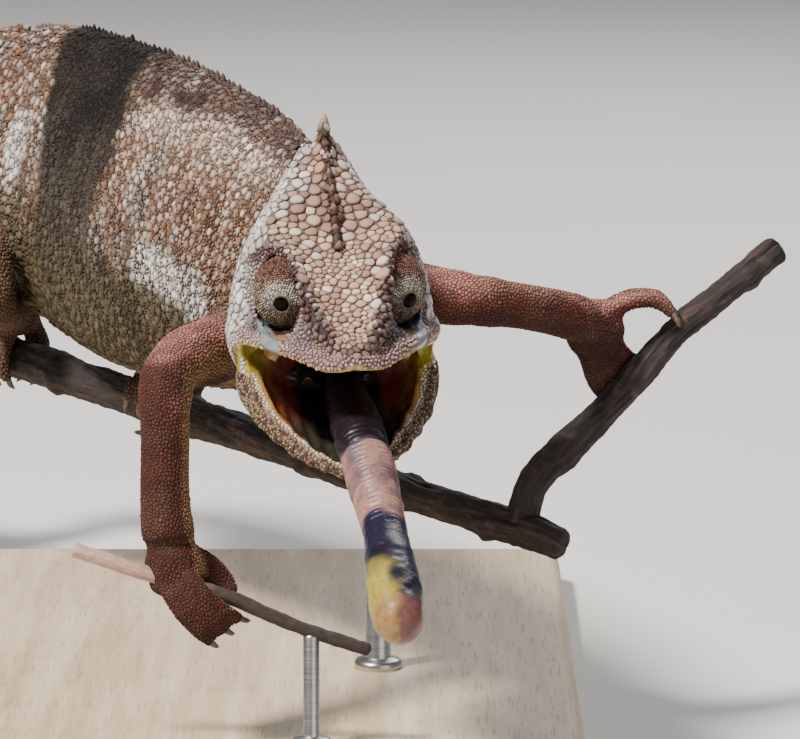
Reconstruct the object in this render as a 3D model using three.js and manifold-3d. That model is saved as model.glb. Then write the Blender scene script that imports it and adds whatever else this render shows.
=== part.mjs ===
// A life-size giant chameleon of Madagascar, reaching forward with its mouth open and its tongue out.
// It grips a forked branch with three feet and a twig with the fourth, and its tail is wound round the
// branch. A flat base with two rods carries the branch and the twig.
// Millimetres, +Z up. The origin is the middle of the base's underside, and the animal looks towards -Y.
import * as THREE from "three";
import { mergeVertices } from "three/addons/utils/BufferGeometryUtils.js";
import Module from "manifold-3d";

const wasm = await Module();
wasm.setup();

// ---------------------------------------------------------------- driving sizes
const GAP = 0.35; // clearance between neighbouring pieces
const FULL_TURN = 2 * Math.PI;
const UP = new THREE.Vector3(0, 0, 1);

const BASE = { width: 150, length: 200, thickness: 8, bevel: 1.5 };
const ROD = { branch: 2.5, twig: 1.5, sunk: 1.5 };
const HEAD = { at: [29.4, -85, 94], yaw: 6.2, roll: -1.4, steps: 13, half: 20 };
const JAW = { hinge: [0, 13, -14], gape: 21, length: 41 };
const EYE = { side: 8.9, height: 0.5, turret: 6.9, room: 0.5, inner: 2.3 };
const PUPIL = { ball: 3.6, depth: 3.4, opening: 1.9, clearance: 0.3 };
const GAZE = { left: { outward: 29, down: 14 }, right: { outward: 19, down: 11 } };
const CREST = { spines: 30, first: 1.2, last: 8.3, tallest: 3.9, lowest: 2.6, foot: 1.3, sunk: 1.8 };
const CLAW_LENGTH = 2.4;

const COLOURS = {
  skin: 0x9c8878, head: 0xb9a294, limb: 0x9a6a58, claw: 0x4a3a30, eyelid: 0xa88a76, eye: 0x0c0a09,
  lining: 0x8a6a2a, tongueRoot: 0x1c1420, tongue: 0xb78f8c, club: 0x3a2f52, bark: 0x3a2c24,
  twig: 0x8d7464, base: 0x5a4030, rod: 0x9a9a98,
};

// ---------------------------------------------------------------- tools
const vector = (p) => (p.isVector3 ? p.clone() : new THREE.Vector3(...p));
const radians = THREE.MathUtils.degToRad;

// A surface over rings of points, each a closed loop of the same count, with both ends filled.
function closedRings(rings) {
  const around = rings[0].length;
  const middle = (ring) => ring.reduce((sum, p) => sum.add(p), new THREE.Vector3()).divideScalar(around);
  const points = [...rings.flat(), middle(rings[0]), middle(rings.at(-1))];
  const [first, last] = [points.length - 2, points.length - 1];
  const lastRing = (rings.length - 1) * around;
  const faces = [];
  for (let j = 0; j < around; j++) {
    const k = (j + 1) % around;
    for (let r = 0; r < rings.length - 1; r++) {
      const [a, b] = [r * around, (r + 1) * around];
      faces.push(a + j, a + k, b + k, a + j, b + k, b + j);
    }
    faces.push(first, k, j, last, lastRing + j, lastRing + k);
  }
  const geometry = new THREE.BufferGeometry().setFromPoints(points);
  geometry.setIndex(faces);
  return outwards(geometry);
}

// Turns a closed surface's faces outwards if they point in.
function outwards(geometry) {
  const p = geometry.getAttribute("position");
  const index = geometry.index.array;
  const corner = (i) => new THREE.Vector3().fromBufferAttribute(p, index[i]);
  let volume = 0;
  for (let i = 0; i < index.length; i += 3) volume += corner(i).dot(corner(i + 1).cross(corner(i + 2)));
  if (volume < 0)
    for (let i = 0; i < index.length; i += 3) [index[i + 1], index[i + 2]] = [index[i + 2], index[i + 1]];
  return geometry;
}

// A closed tube through stations of { at, across, upright, keel }: the half sizes either side of the path
// and along the upright direction, and how far its top is drawn in. The upright direction is carried along
// the path without twisting. from and to are station numbers, which may fall between stations.
const FRAMES = 200;
function tube(stations, { sides = 10, steps = 12, from = 0, to = stations.length - 1, upright = UP } = {}) {
  const path = new THREE.CatmullRomCurve3(stations.map((s) => vector(s.at)));
  const sizesAt = stations.map((s) => new THREE.Vector3(s.across, s.upright ?? s.across, s.keel ?? 0));
  const sizes = new THREE.CatmullRomCurve3(sizesAt, false, "catmullrom", 0.5);
  const tops = [vector(upright)];
  for (let i = 0; i <= FRAMES; i++) {
    const along = path.getTangent(i / FRAMES);
    tops.push(tops.at(-1).clone().addScaledVector(along, -along.dot(tops.at(-1))).normalize());
  }
  const rings = evenly(from, to, steps).map((station) => {
    const t = station / (stations.length - 1);
    const [centre, along, size] = [path.getPoint(t), path.getTangent(t), sizes.getPoint(t)];
    const side = along.clone().cross(tops[1 + Math.round(t * FRAMES)]).normalize();
    const top = side.clone().cross(along).normalize();
    return Array.from({ length: sides }, (_, j) => {
      const [x, z] = [Math.cos((j / sides) * FULL_TURN), Math.sin((j / sides) * FULL_TURN)];
      const drawnIn = 1 - size.z * Math.max(0, z);
      return centre.clone().addScaledVector(side, x * drawnIn * size.x).addScaledVector(top, z * size.y);
    });
  });
  return closedRings(rings);
}

// Consecutive lengths of one tube, parted by the gap at the given station numbers.
function lengths(stations, ends, steps, options) {
  return ends.slice(1).map((to, i) => {
    const near = Math.min(Math.floor(ends[i]), stations.length - 2);
    const spacing = vector(stations[near].at).distanceTo(vector(stations[near + 1].at));
    return tube(stations, { ...options, steps: steps[i], from: ends[i] + (i ? GAP / spacing : 0), to });
  });
}

const evenly = (from, to, steps) =>
  Array.from({ length: steps + 1 }, (_, i) => from + ((to - from) * i) / steps);

// A surface whose vertices are moved out by a distance, as a cutter that leaves a gap.
function grown(geometry, by = GAP) {
  const bare = bareOf(geometry);
  bare.computeVertexNormals();
  const [p, n] = [bare.getAttribute("position"), bare.getAttribute("normal")];
  for (let i = 0; i < p.count; i++)
    p.setXYZ(i, p.getX(i) + by * n.getX(i), p.getY(i) + by * n.getY(i), p.getZ(i) + by * n.getZ(i));
  return bare;
}

function bareOf(geometry) {
  const bare = new THREE.BufferGeometry();
  bare.setAttribute("position", geometry.getAttribute("position").clone());
  if (geometry.index) bare.setIndex(geometry.index.clone());
  return mergeVertices(bare, 1e-3);
}

function solid(geometry) {
  const bare = bareOf(geometry);
  const vertProperties = bare.getAttribute("position").array;
  const triVerts = new Uint32Array(bare.index.array);
  return new wasm.Manifold(new wasm.Mesh({ numProp: 3, vertProperties, triVerts }));
}

// The largest single body of a solid, as a geometry.
function body(shape) {
  const parts = shape.decompose().sort((a, b) => b.volume() - a.volume());
  const mesh = parts[0].getMesh();
  return new THREE.BufferGeometry()
    .setAttribute("position", new THREE.BufferAttribute(new Float32Array(mesh.vertProperties), 3))
    .setIndex(new THREE.BufferAttribute(new Uint32Array(mesh.triVerts), 1));
}

const join = (...geometries) => body(geometries.map(solid).reduce((a, b) => a.add(b)));
const cut = (geometry, ...cutters) =>
  body(cutters.map(solid).reduce((a, b) => a.subtract(b), solid(geometry)));

const part = new THREE.Group();

function add(name, geometry, colour, roughness = 0.75, metalness = 0) {
  const flat = geometry.toNonIndexed();
  flat.computeVertexNormals();
  const mesh = new THREE.Mesh(flat, new THREE.MeshStandardMaterial({ color: colour, roughness, metalness }));
  mesh.name = name;
  part.add(mesh);
  return geometry;
}

// ---------------------------------------------------------------- perch
const FORK = [63.2, -38, 41];
const BRANCH_LINE = [[72, -42, 38], FORK, [41.2, -20, 44.4], [14, 8, 48.8], [-12.5, 35, 52], [-31, 55, 54.8],
  [-46, 69, 56.4], [-74, 96, 58], [-112, 131, 60]];
const ARM_LINE = [FORK, [66, -37.4, 49.6], [72.6, -36.6, 56.6], [83.2, -35, 67], [92.2, -33, 77.4],
  [101.4, -31, 84.6], [113, -28, 94]];
const TWIG_LINE = [[-20, -76.4, 45], [-6, -77, 40.4], [7.7, -78, 36.6], [22, -78, 30.5], [35, -78, 26.2]];

const along = (line, first, last) =>
  line.map((at, i) => ({ at, across: THREE.MathUtils.lerp(first, last, i / (line.length - 1)) }));
const branchStations = along(BRANCH_LINE, 3.4, 4.4);
const branchTube = tube(branchStations, { sides: 9, steps: 10 });
const armTube = tube(along(ARM_LINE, 3.3, 2.6), { sides: 9, steps: 6, upright: [0, 1, 0] });
const knot = new THREE.SphereGeometry(4.9, 8, 6).translate(...FORK);
const twigTube = tube(along(TWIG_LINE, 1.5, 1.25), { sides: 8, steps: 5 });
const branchCutter = grown(branchTube);
const knotCutter = grown(knot);
add("perch_branch", join(branchTube, knot), COLOURS.bark, 0.9);
add("perch_fork", cut(armTube, branchCutter, knotCutter), COLOURS.bark, 0.9);
add("perch_twig", twigTube, COLOURS.twig, 0.85);
const armCutter = grown(armTube);
const twigCutter = grown(twigTube);

// ---------------------------------------------------------------- stand
function bevelledBase({ width, length, thickness, bevel }) {
  const [w, l] = [width / 2 - bevel, length / 2 - bevel];
  const outline = new THREE.Shape([[-w, -l], [w, -l], [w, l], [-w, l]].map((p) => new THREE.Vector2(...p)));
  const edge = { bevelEnabled: true, bevelThickness: bevel, bevelSize: bevel, bevelSegments: 1 };
  return new THREE.ExtrudeGeometry(outline, { depth: thickness - 2 * bevel, ...edge }).translate(0, 0, bevel);
}

// An upright rod from inside a hole in the base to under a perch, whose end is shaped to fit it.
function rodUnder(point, radius, cutter) {
  const bottom = BASE.thickness - ROD.sunk;
  const height = point[2] - bottom;
  const rod = new THREE.CylinderGeometry(radius, radius, height, 12).rotateX(Math.PI / 2);
  return cut(rod.translate(point[0], point[1], bottom + height / 2), cutter);
}

const socketUnder = (point, radius) => new THREE.CylinderGeometry(radius + GAP, radius + GAP, 20, 12)
  .rotateX(Math.PI / 2).translate(point[0], point[1], BASE.thickness - ROD.sunk - GAP + 10);

const BRANCH_ROD_AT = [36, -14.8, 45.2];
const TWIG_ROD_AT = [24, -78, 29.8];
add("stand_base", cut(bevelledBase(BASE), socketUnder(BRANCH_ROD_AT, ROD.branch),
  socketUnder(TWIG_ROD_AT, ROD.twig)), COLOURS.base, 0.5);
add("stand_rod_branch", rodUnder(BRANCH_ROD_AT, ROD.branch, branchCutter), COLOURS.rod, 0.35, 0.9);
add("stand_rod_twig", rodUnder(TWIG_ROD_AT, ROD.twig, twigCutter), COLOURS.rod, 0.35, 0.9);

// ---------------------------------------------------------------- tongue
// It leaves the throat, passes over the chin and reaches forward and down to its sticky club.
const TONGUE = [
  { at: [29.6, -74.6, 75.8], across: 3 },
  { at: [30.6, -83, 74.4], across: 3.9 },
  { at: [32.1, -95, 72.2], across: 4.5 },
  { at: [33.8, -109, 70.2], across: 4.6 },
  { at: [35.7, -120, 65.6], across: 4.5 },
  { at: [37.4, -131, 60.8], across: 4 },
  { at: [38.6, -141, 56.6], across: 4.5 },
  { at: [39.3, -148, 53.2], across: 4.9 },
  { at: [39.9, -154, 50], across: 4.9 },
  { at: [40.3, -159, 47.2], across: 3.6 },
];
const TONGUE_ENDS = [0, 2.6, 5.6, 9];
const tongueLengths = lengths(TONGUE, TONGUE_ENDS, [4, 5, 5], { sides: 10 });
["root", "shaft", "club"].forEach((name, i) =>
  add("tongue_" + name, tongueLengths[i], [COLOURS.tongueRoot, COLOURS.tongue, COLOURS.club][i], 0.3));
const tongueCutter = grown(tube(TONGUE, { sides: 10, steps: 12 }));

// ---------------------------------------------------------------- head, in its own frame
const headFrame = new THREE.Matrix4().makeTranslation(...HEAD.at)
  .multiply(new THREE.Matrix4().makeRotationZ(radians(HEAD.yaw)))
  .multiply(new THREE.Matrix4().makeRotationY(radians(HEAD.roll)));
const inHead = (geometry) => geometry.applyMatrix4(headFrame);

// The lines that run along the head's right and left halves, each a list of [y, x, z] from snout to nape:
// the crown's crest, the crest's foot, the ridge over snout and eye that goes on as the casque's edge,
// the hollow under it, the cheek, the lip's edge, the gum, the side of the palate and its middle.
const HEAD_LINES = [
  [[-25.6, 0, -6.9], [-23, 0, -4.6], [-18, 0, -2.4], [-11, 0, 1.4], [-4, 0, 5.6], [2, 0, 9.8], [10, 0, 17],
    [20, 0, 25], [25, 0, 29.6], [28.4, 0, 32.8]],
  [[-25.6, 0.8, -7], [-11, 2.6, 1.2], [-4, 3, 5.4], [2, 1.6, 9], [10, 1.5, 15.2], [20, 1.3, 23.2],
    [25, 1, 28], [28.4, 0.6, 31.4]],
  [[-25.6, 1.8, -7.2], [-23, 4.1, -5], [-18, 6, -1.8], [-11, 7.9, 2.4], [-4, 9.6, 7.2], [2, 11, 10.4],
    [6, 12.3, 11.6], [10, 10.2, 14], [15, 7.2, 17.5], [20, 4.9, 20.8], [25, 2.8, 25.8], [28.4, 1.1, 29.4]],
  [[-25.6, 2.4, -8.1], [-18, 7.2, -5.2], [-11, 8.9, -2], [-4, 10.2, 0.5], [2, 13, 4], [6, 15.5, 5],
    [10, 16.7, 4], [15, 15.3, 5], [20, 12.4, 7.6], [25, 7.6, 13.6], [28.4, 2.8, 21.4]],
  [[-25.6, 2.6, -9.1], [-23, 6.2, -9], [-18, 9.8, -8.9], [-11, 12.9, -8.2], [-4, 14.8, -8], [6, 18, -6.2],
    [12, 18.5, -5.2], [20, 14.4, -4], [25, 10.4, 1.6], [28.4, 3.8, 12]],
  [[-25.6, 2.4, -10], [-23, 6.4, -10.5], [-18, 10.3, -11.1], [-4, 16.6, -12], [4, 18.7, -12.3],
    [10, 19.3, -12.7], [15, 17.8, -13.2], [20, 14.4, -12.4], [28.4, 3.8, 4]],
  [[-25.6, 1.8, -10.5], [-18, 9.1, -11.8], [-4, 15.3, -13.1], [10, 18.2, -15.2], [15, 16.4, -18.2],
    [20, 13, -17.6], [28.4, 3.3, 0]],
  [[-25.6, 0.8, -10.4], [-18, 6.6, -10.4], [-4, 11.5, -10.4], [10, 14.2, -13.6], [15, 11.6, -21.4],
    [20, 9, -21], [28.4, 2, -2.8]],
  [[-25.6, 0, -10.4], [-18, 0, -9.3], [2, 0, -8.4], [10, 0, -10.6], [15, 0, -22.6], [20, 0, -22.6],
    [28.4, 0, -4]],
];
// How far the casque's edges lean towards the right side along the head.
const CASQUE_LEAN = [[-25.6, 0, 0], [2, 0, 0], [10, -0.7, 0], [15, -1.3, 0], [21, -1, 0], [28.4, 0, 0]];

// Where the smooth line through [y, x, z] points is at one y, as [x, z].
function lineAt(line, y) {
  const i = Math.max(0, Math.min(line.length - 2, line.findIndex((p) => p[0] > y) - 1));
  const [a, b] = [line[i], line[i + 1]];
  const [before, after] = [line[i - 1] ?? a, line[i + 2] ?? b];
  const span = b[0] - a[0];
  const t = Math.min(1, (y - a[0]) / span);
  return [1, 2].map((k) => {
    const slopeIn = ((b[k] - before[k]) / (b[0] - before[0])) * span;
    const slopeOut = ((after[k] - a[k]) / (after[0] - a[0])) * span;
    const bend = (1 - t) * (1 - t) * t * slopeIn - t * t * (1 - t) * slopeOut;
    return a[k] * (1 + 2 * t) * (1 - t) * (1 - t) + b[k] * t * t * (3 - 2 * t) + bend;
  });
}

// A solid whose half outline at each y runs smoothly through the lines' points there.
function throughLines(lines, ys, perSpan, lean) {
  return closedRings(ys.map((y) => {
    const corners = lines.map((line) => {
      const [x, z] = lineAt(line, y);
      return new THREE.Vector3(x, y, z);
    });
    const halfCurve = new THREE.CatmullRomCurve3(corners, false, "centripetal");
    const half = halfCurve.getPoints((lines.length - 1) * perSpan);
    for (const p of half) p.x = Math.max(p.x, 0);
    const mirrored = half.slice(1, -1).reverse().map((p) => new THREE.Vector3(-p.x, p.y, p.z));
    const ring = [...half, ...mirrored];
    if (lean) for (const p of ring) p.x += lineAt(lean, y)[0] * Math.min(1, Math.abs(p.x) / 5);
    return ring;
  }));
}

const SIDES = { left: 1, right: -1 };
const gaze = (side) => {
  const [out, down] = [radians(GAZE[side].outward), radians(GAZE[side].down)];
  return new THREE.Vector3(
    SIDES[side] * Math.sin(out) * Math.cos(down), -Math.cos(out) * Math.cos(down), -Math.sin(down));
};
const eyeCentre = (side) => new THREE.Vector3(SIDES[side] * EYE.side, 0, EYE.height);

// The lidded cone of one eye: a ball with a raised ring round its opening, turned about the line of sight.
function turret(side) {
  const r = EYE.turret;
  const rim = Math.PI - Math.asin(PUPIL.opening / r);
  const profile = evenly(0, rim - 0.28, 6).map((a) => [r * Math.sin(a), -r * Math.cos(a)]);
  profile.push([PUPIL.opening + 0.2, r - 0.1], [PUPIL.opening - 0.2, r], [0, r - 0.6]);
  const lathe = new THREE.LatheGeometry(profile.map((p) => new THREE.Vector2(...p)), 10);
  const turn = new THREE.Quaternion().setFromUnitVectors(UP.clone().set(0, 1, 0), gaze(side));
  return lathe.applyQuaternion(turn).translate(...eyeCentre(side));
}

function eyeball(side, grow = 0) {
  const centre = eyeCentre(side).addScaledVector(gaze(side), PUPIL.depth);
  return new THREE.SphereGeometry(PUPIL.ball + grow, 10, 6).translate(...centre);
}

const skull = throughLines(HEAD_LINES, evenly(-25.6, 28.4, HEAD.steps), 2, CASQUE_LEAN);
const midplane = new THREE.BoxGeometry(2 * EYE.inner, 2 * HEAD.half, 2 * HEAD.half);
const sockets = Object.keys(SIDES).map((side) => {
  const r = EYE.turret + EYE.room;
  return cut(new THREE.SphereGeometry(r, 11, 7).translate(...eyeCentre(side)), midplane);
});
const head = cut(inHead(cut(skull, ...sockets)), tongueCutter);
const headCutter = grown(head);
add("head", head, COLOURS.head);

const innerSlab = new THREE.BoxGeometry(2 * (EYE.inner + EYE.room), 2 * HEAD.half, 2 * HEAD.half);
for (const side of Object.keys(SIDES)) {
  const lids = cut(turret(side), eyeball(side, PUPIL.clearance), innerSlab);
  add("eye_turret_" + side, inHead(lids), COLOURS.eyelid, 0.7);
  add("eyeball_" + side, inHead(eyeball(side)), COLOURS.eye, 0.1);
}

// ---------------------------------------------------------------- lower jaw and mouth, in the head's frame
const jawFrame = new THREE.Matrix4().makeTranslation(...JAW.hinge)
  .multiply(new THREE.Matrix4().makeRotationX(radians(JAW.gape)));
const inJaw = (geometry) => inHead(geometry.applyMatrix4(jawFrame));
// The jaw's lines in its own frame, each a list of [y, x, z] from chin to hinge: the rim's middle, the
// rim, the outer wall, the lower edge and the keel. Then the same for the trough inside it.
const JAW_LINES = [
  [[-JAW.length, 0, 0], [-20, 0, 0.1], [0, 0, 0.4]],
  [[-JAW.length, 1.2, 0], [-37.5, 4.4, 0.1], [-32, 8.9, 0], [-25, 12.3, 0], [-17, 15.7, 0.2], [-8, 17.8, 0.4],
    [0, 18.2, 0.4]],
  [[-JAW.length, 1.3, -0.9], [-37.5, 4.6, -1.6], [-32, 9.2, -2.3], [-25, 12.7, -2.8], [-17, 16.1, -3.2],
    [-8, 18.3, -3.4], [0, 19, -3.2]],
  [[-JAW.length, 0.9, -1.9], [-37.5, 3, -3.2], [-32, 6.2, -4.6], [-25, 8.8, -6], [-17, 11.6, -7],
    [0, 14.4, -7.6]],
  [[-JAW.length, 0, -2.3], [-37.5, 0, -3.8], [-25, 0, -6.9], [-8, 0, -9], [0, 0, -8.8]],
];
const TROUGH_LINES = [
  [[-38, 0, 6], [6, 0, 6]],
  [[-38, 2.6, 6], [-32, 7.4, 6], [-25, 10.7, 6], [-17, 14, 6], [-8, 16, 6], [6, 15.8, 6]],
  [[-38, 2, -0.6], [-32, 6.6, -0.8], [-25, 9.8, -1], [-17, 13, -1.2], [-8, 15, -1.4], [6, 14.8, -1.4]],
  [[-38, 1, -1.4], [-32, 3.8, -2.4], [-25, 5.8, -3.4], [-17, 8, -4.2], [-8, 9.2, -4.8], [6, 9, -4.6]],
  [[-38, 0, -1.8], [-32, 0, -3], [-25, 0, -4.2], [-17, 0, -5.2], [-8, 0, -5.8], [6, 0, -5.6]],
];
const jawShape = () => throughLines(JAW_LINES, evenly(-JAW.length, 0, 8), 2);
const jawTrough = throughLines(TROUGH_LINES, evenly(-38, 6, 6), 2);
const jawCutter = grown(inJaw(jawShape()));
const jaw = cut(inJaw(cut(jawShape(), jawTrough)), headCutter, tongueCutter);
add("lower_jaw", jaw, COLOURS.head);

const ball = (centre, radii, across = 9, high = 6) =>
  new THREE.SphereGeometry(1, across, high).scale(...radii).translate(...centre);

// The wet wall at the back of the mouth, hollowed towards the throat.
const mouthWall = inHead(ball([0, 9, -17], [16.4, 9, 9.6]));
const mouthHollow = inHead(ball([0, 1.5, -17.5], [12.6, 10.5, 7]));
const lining = cut(mouthWall, mouthHollow, headCutter, jawCutter, tongueCutter);
add("mouth_lining", lining, COLOURS.lining, 0.4);

// ---------------------------------------------------------------- neck, trunk and tail
// The body's stations: where its midline runs, its back and belly heights, and half its width.
const BODY = [
  { at: [28, -71], back: 108, belly: 72, half: 11.5 },
  { at: [23.5, -55], back: 115.6, belly: 69.5, half: 13 },
  { at: [16, -35], back: 121.4, belly: 66.8, half: 15.5 },
  { at: [3.6, -10], back: 125.8, belly: 62.8, half: 17.5 },
  { at: [-8.8, 15], back: 127.8, belly: 60.6, half: 18 },
  { at: [-20.7, 40], back: 128.6, belly: 61.2, half: 16.5 },
  { at: [-31.5, 60], back: 128, belly: 66, half: 14 },
  { at: [-41.5, 78], back: 126, belly: 77, half: 11.5 },
  { at: [-50.5, 93], back: 121.4, belly: 87.6, half: 9.4 },
  { at: [-58.5, 105.5], back: 112, belly: 93, half: 7.8 },
];
const KEEL = 0.42;
const bodyStations = BODY.map((s) => ({
  at: [...s.at, (s.back + s.belly) / 2], across: s.half, upright: (s.back - s.belly) / 2, keel: KEEL }));

// The tail leaves the hips, comes down beside the branch and winds round it towards the tip. lean is the
// angle round the branch where the winding starts, from the branch's top towards its far side.
const TAIL = { turns: 4.2, start: 0.885, end: 0.968, full: 5.1, tip: 1.2, lean: 62 };
const TAIL_ROOT = [{ at: [-65, 112, 94.4], across: 7, upright: 7.4, keel: 0.2 },
  { at: [-68.4, 111.4, 83.4], across: 6.3 }, { at: [-69.4, 107.4, 73], across: 5.7 }];
function coilStations() {
  const path = new THREE.CatmullRomCurve3(branchStations.map((s) => vector(s.at)));
  const ahead = path.getTangent(TAIL.start);
  const outer = ahead.clone().cross(UP).normalize();
  const over = outer.clone().cross(ahead).normalize();
  return evenly(0, 1, Math.round(TAIL.turns * 8)).map((share) => {
    const angle = radians(TAIL.lean) + share * TAIL.turns * FULL_TURN;
    const radius = THREE.MathUtils.lerp(TAIL.full, TAIL.tip, share);
    const reach = branchStations.at(-1).across + radius + GAP;
    const centre = path.getPoint(TAIL.start + (TAIL.end - TAIL.start) * share * (1.3 - 0.3 * share));
    centre.addScaledVector(over, reach * Math.cos(angle)).addScaledVector(outer, reach * Math.sin(angle));
    return { at: centre.toArray(), across: radius };
  });
}
const spine = [...bodyStations, ...TAIL_ROOT, ...coilStations()];

// Small upright cones along the back, lower towards the tail.
function crestSpines(from, to) {
  const feet = bodyStations.map((s) => vector(s.at).setZ(s.at[2] + s.upright - CREST.sunk));
  const path = new THREE.CatmullRomCurve3(feet);
  const places = evenly(CREST.first, CREST.last, CREST.spines - 1);
  return places.filter((station) => station > from && station < to).map((station) => {
    const share = (station - CREST.first) / (CREST.last - CREST.first);
    const tall = THREE.MathUtils.lerp(CREST.tallest, CREST.lowest, share);
    const foot = path.getPoint(station / (bodyStations.length - 1));
    const cone = new THREE.ConeGeometry(CREST.foot, tall, 4).rotateX(Math.PI / 2);
    return cone.translate(foot.x, foot.y, foot.z + tall / 2);
  });
}

const NECK_END = 1.8;
const TRUNK_END = 9.4;
const [neckLength, trunkLength] = lengths(spine, [0, NECK_END, TRUNK_END], [4, 11], { sides: 16 });
const neckWithCrest = join(neckLength, ...crestSpines(0, NECK_END - 0.1));
add("neck", cut(neckWithCrest, head, headCutter, jawCutter, grown(lining), tongueCutter), COLOURS.skin);
add("trunk", join(trunkLength, ...crestSpines(NECK_END + 0.1, TRUNK_END)), COLOURS.skin);
const bodyCutter = grown(tube(spine, { sides: 16, steps: 15, to: TRUNK_END }));

const TAIL_ENDS = [TRUNK_END, 14, 22, 30, 38, spine.length - 1];
const TAIL_NAMES = ["tail_base", "tail_coil_1", "tail_coil_2", "tail_coil_3", "tail_tip"];
const tailLengths = lengths(spine, [0, ...TAIL_ENDS], [1, 6, 10, 10, 10, 9], { sides: 7 });
const [tailBase, ...coils] = tailLengths.slice(1);
[cut(tailBase, branchCutter), ...coils].forEach((length, i) => add(TAIL_NAMES[i], length, COLOURS.skin));

// ---------------------------------------------------------------- limbs
// Toes that leave the palm together, side by side along spread. Every toe follows the same points,
// which run from the palm over or under the perch.
function toes({ points, spread, count, radius }) {
  const sideways = vector(spread).normalize();
  return Array.from({ length: count }, (_, i) => {
    const place = (i - (count - 1) / 2) * radius * 1.6;
    const stations = points.map((p, k) => {
      const share = k / (points.length - 1);
      return { at: vector(p).addScaledVector(sideways, place * (0.75 + 0.4 * share)),
        across: radius * (1 - 0.35 * share * share) };
    });
    return { stations, sideways, shape: tube(stations, { sides: 5, steps: 3, upright: sideways }) };
  });
}

// A short hooked claw that carries on the toe's bend, a gap ahead of the toe's end.
function claw({ stations, sideways }) {
  const [earlier, before, tip] = stations.slice(-3).map((s) => vector(s.at));
  const ahead = tip.clone().sub(before).normalize();
  const bend = ahead.clone().sub(before.clone().sub(earlier).normalize());
  bend.addScaledVector(ahead, -bend.dot(ahead)).normalize();
  const thick = stations.at(-1).across * 0.8;
  const at = (forward, inward) => tip.clone().addScaledVector(ahead, forward).addScaledVector(bend, inward);
  return tube([{ at: at(GAP, 0), across: thick }, { at: at(CLAW_LENGTH * 0.5, 0.25), across: thick * 0.7 },
    { at: at(CLAW_LENGTH, 0.9), across: 0.15 }], { sides: 4, steps: 2, upright: sideways });
}

// A hind foot on the branch: the palm sits at an angle from the branch's top, the outer toes go round one
// side and the inner toes round the other. outerSign 1 is the branch's far side.
function grip({ share, lean, outerSign }) {
  const path = new THREE.CatmullRomCurve3(branchStations.map((s) => vector(s.at)));
  const [centre, ahead] = [path.getPoint(share), path.getTangent(share)];
  const outer = ahead.clone().cross(UP).normalize();
  const over = outer.clone().cross(ahead).normalize();
  const around = (angle, reach) => centre.clone().addScaledVector(over, reach * Math.cos(radians(angle)))
    .addScaledVector(outer, reach * Math.sin(radians(angle))).toArray();
  const toeLine = (sign) => [[22, 8.4], [62, 7.2], [98, 6.7], [128, 6.4]].map(([a, reach]) =>
    around(lean + sign * a, reach));
  const bundle = (sign, count) => ({ points: toeLine(sign), spread: ahead.toArray(), count, radius: 2.1 });
  return {
    palm: [around(lean, 8.8), [4.8, 4.8, 4.4]],
    bundles: { outer: bundle(outerSign, 3), inner: bundle(-outerSign, 2) },
  };
}

const FEET = {
  foreleg_right: {
    palm: [[-1.4, -76, 41.4], [6.1, 4.4, 6.6]],
    bundles: {
      outer: { points: [[1, -74.2, 43], [4.8, -73, 40.4], [7.6, -73.2, 37.2], [8.8, -75.2, 34.8]],
        spread: [0.55, 0.5, 0.6], count: 2, radius: 2 },
      inner: { points: [[-0.4, -79, 39.4], [2.6, -81.2, 35.6], [6, -81, 32.2], [8.6, -79, 30]],
        spread: [0.75, 0, 0.62], count: 3, radius: 1.95 },
    },
    cutter: twigCutter,
  },
  foreleg_left: {
    palm: [[77.2, -37, 79.2], [6.5, 4.6, 6.4]],
    bundles: {
      outer: { points: [[80.4, -36.4, 83.2], [85, -36, 85], [89.4, -35.8, 84.8], [92.2, -37.6, 82.4]],
        spread: [-0.1, 0.95, 0.25], count: 2, radius: 2 },
      inner: { points: [[78, -37.4, 76.4], [79.8, -35, 71.8], [81.6, -31.6, 69.2], [83.4, -29.8, 68.6]],
        spread: [0.68, 0.1, 0.72], count: 3, radius: 2.4 },
    },
    cutter: armCutter,
  },
  hindleg_right: {
    ...grip({ share: 0.71, lean: 4, outerSign: -1 }),
    cutter: branchCutter,
  },
  hindleg_left: {
    ...grip({ share: 0.485, lean: 48, outerSign: 1 }),
    cutter: branchCutter,
  },
};

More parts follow.
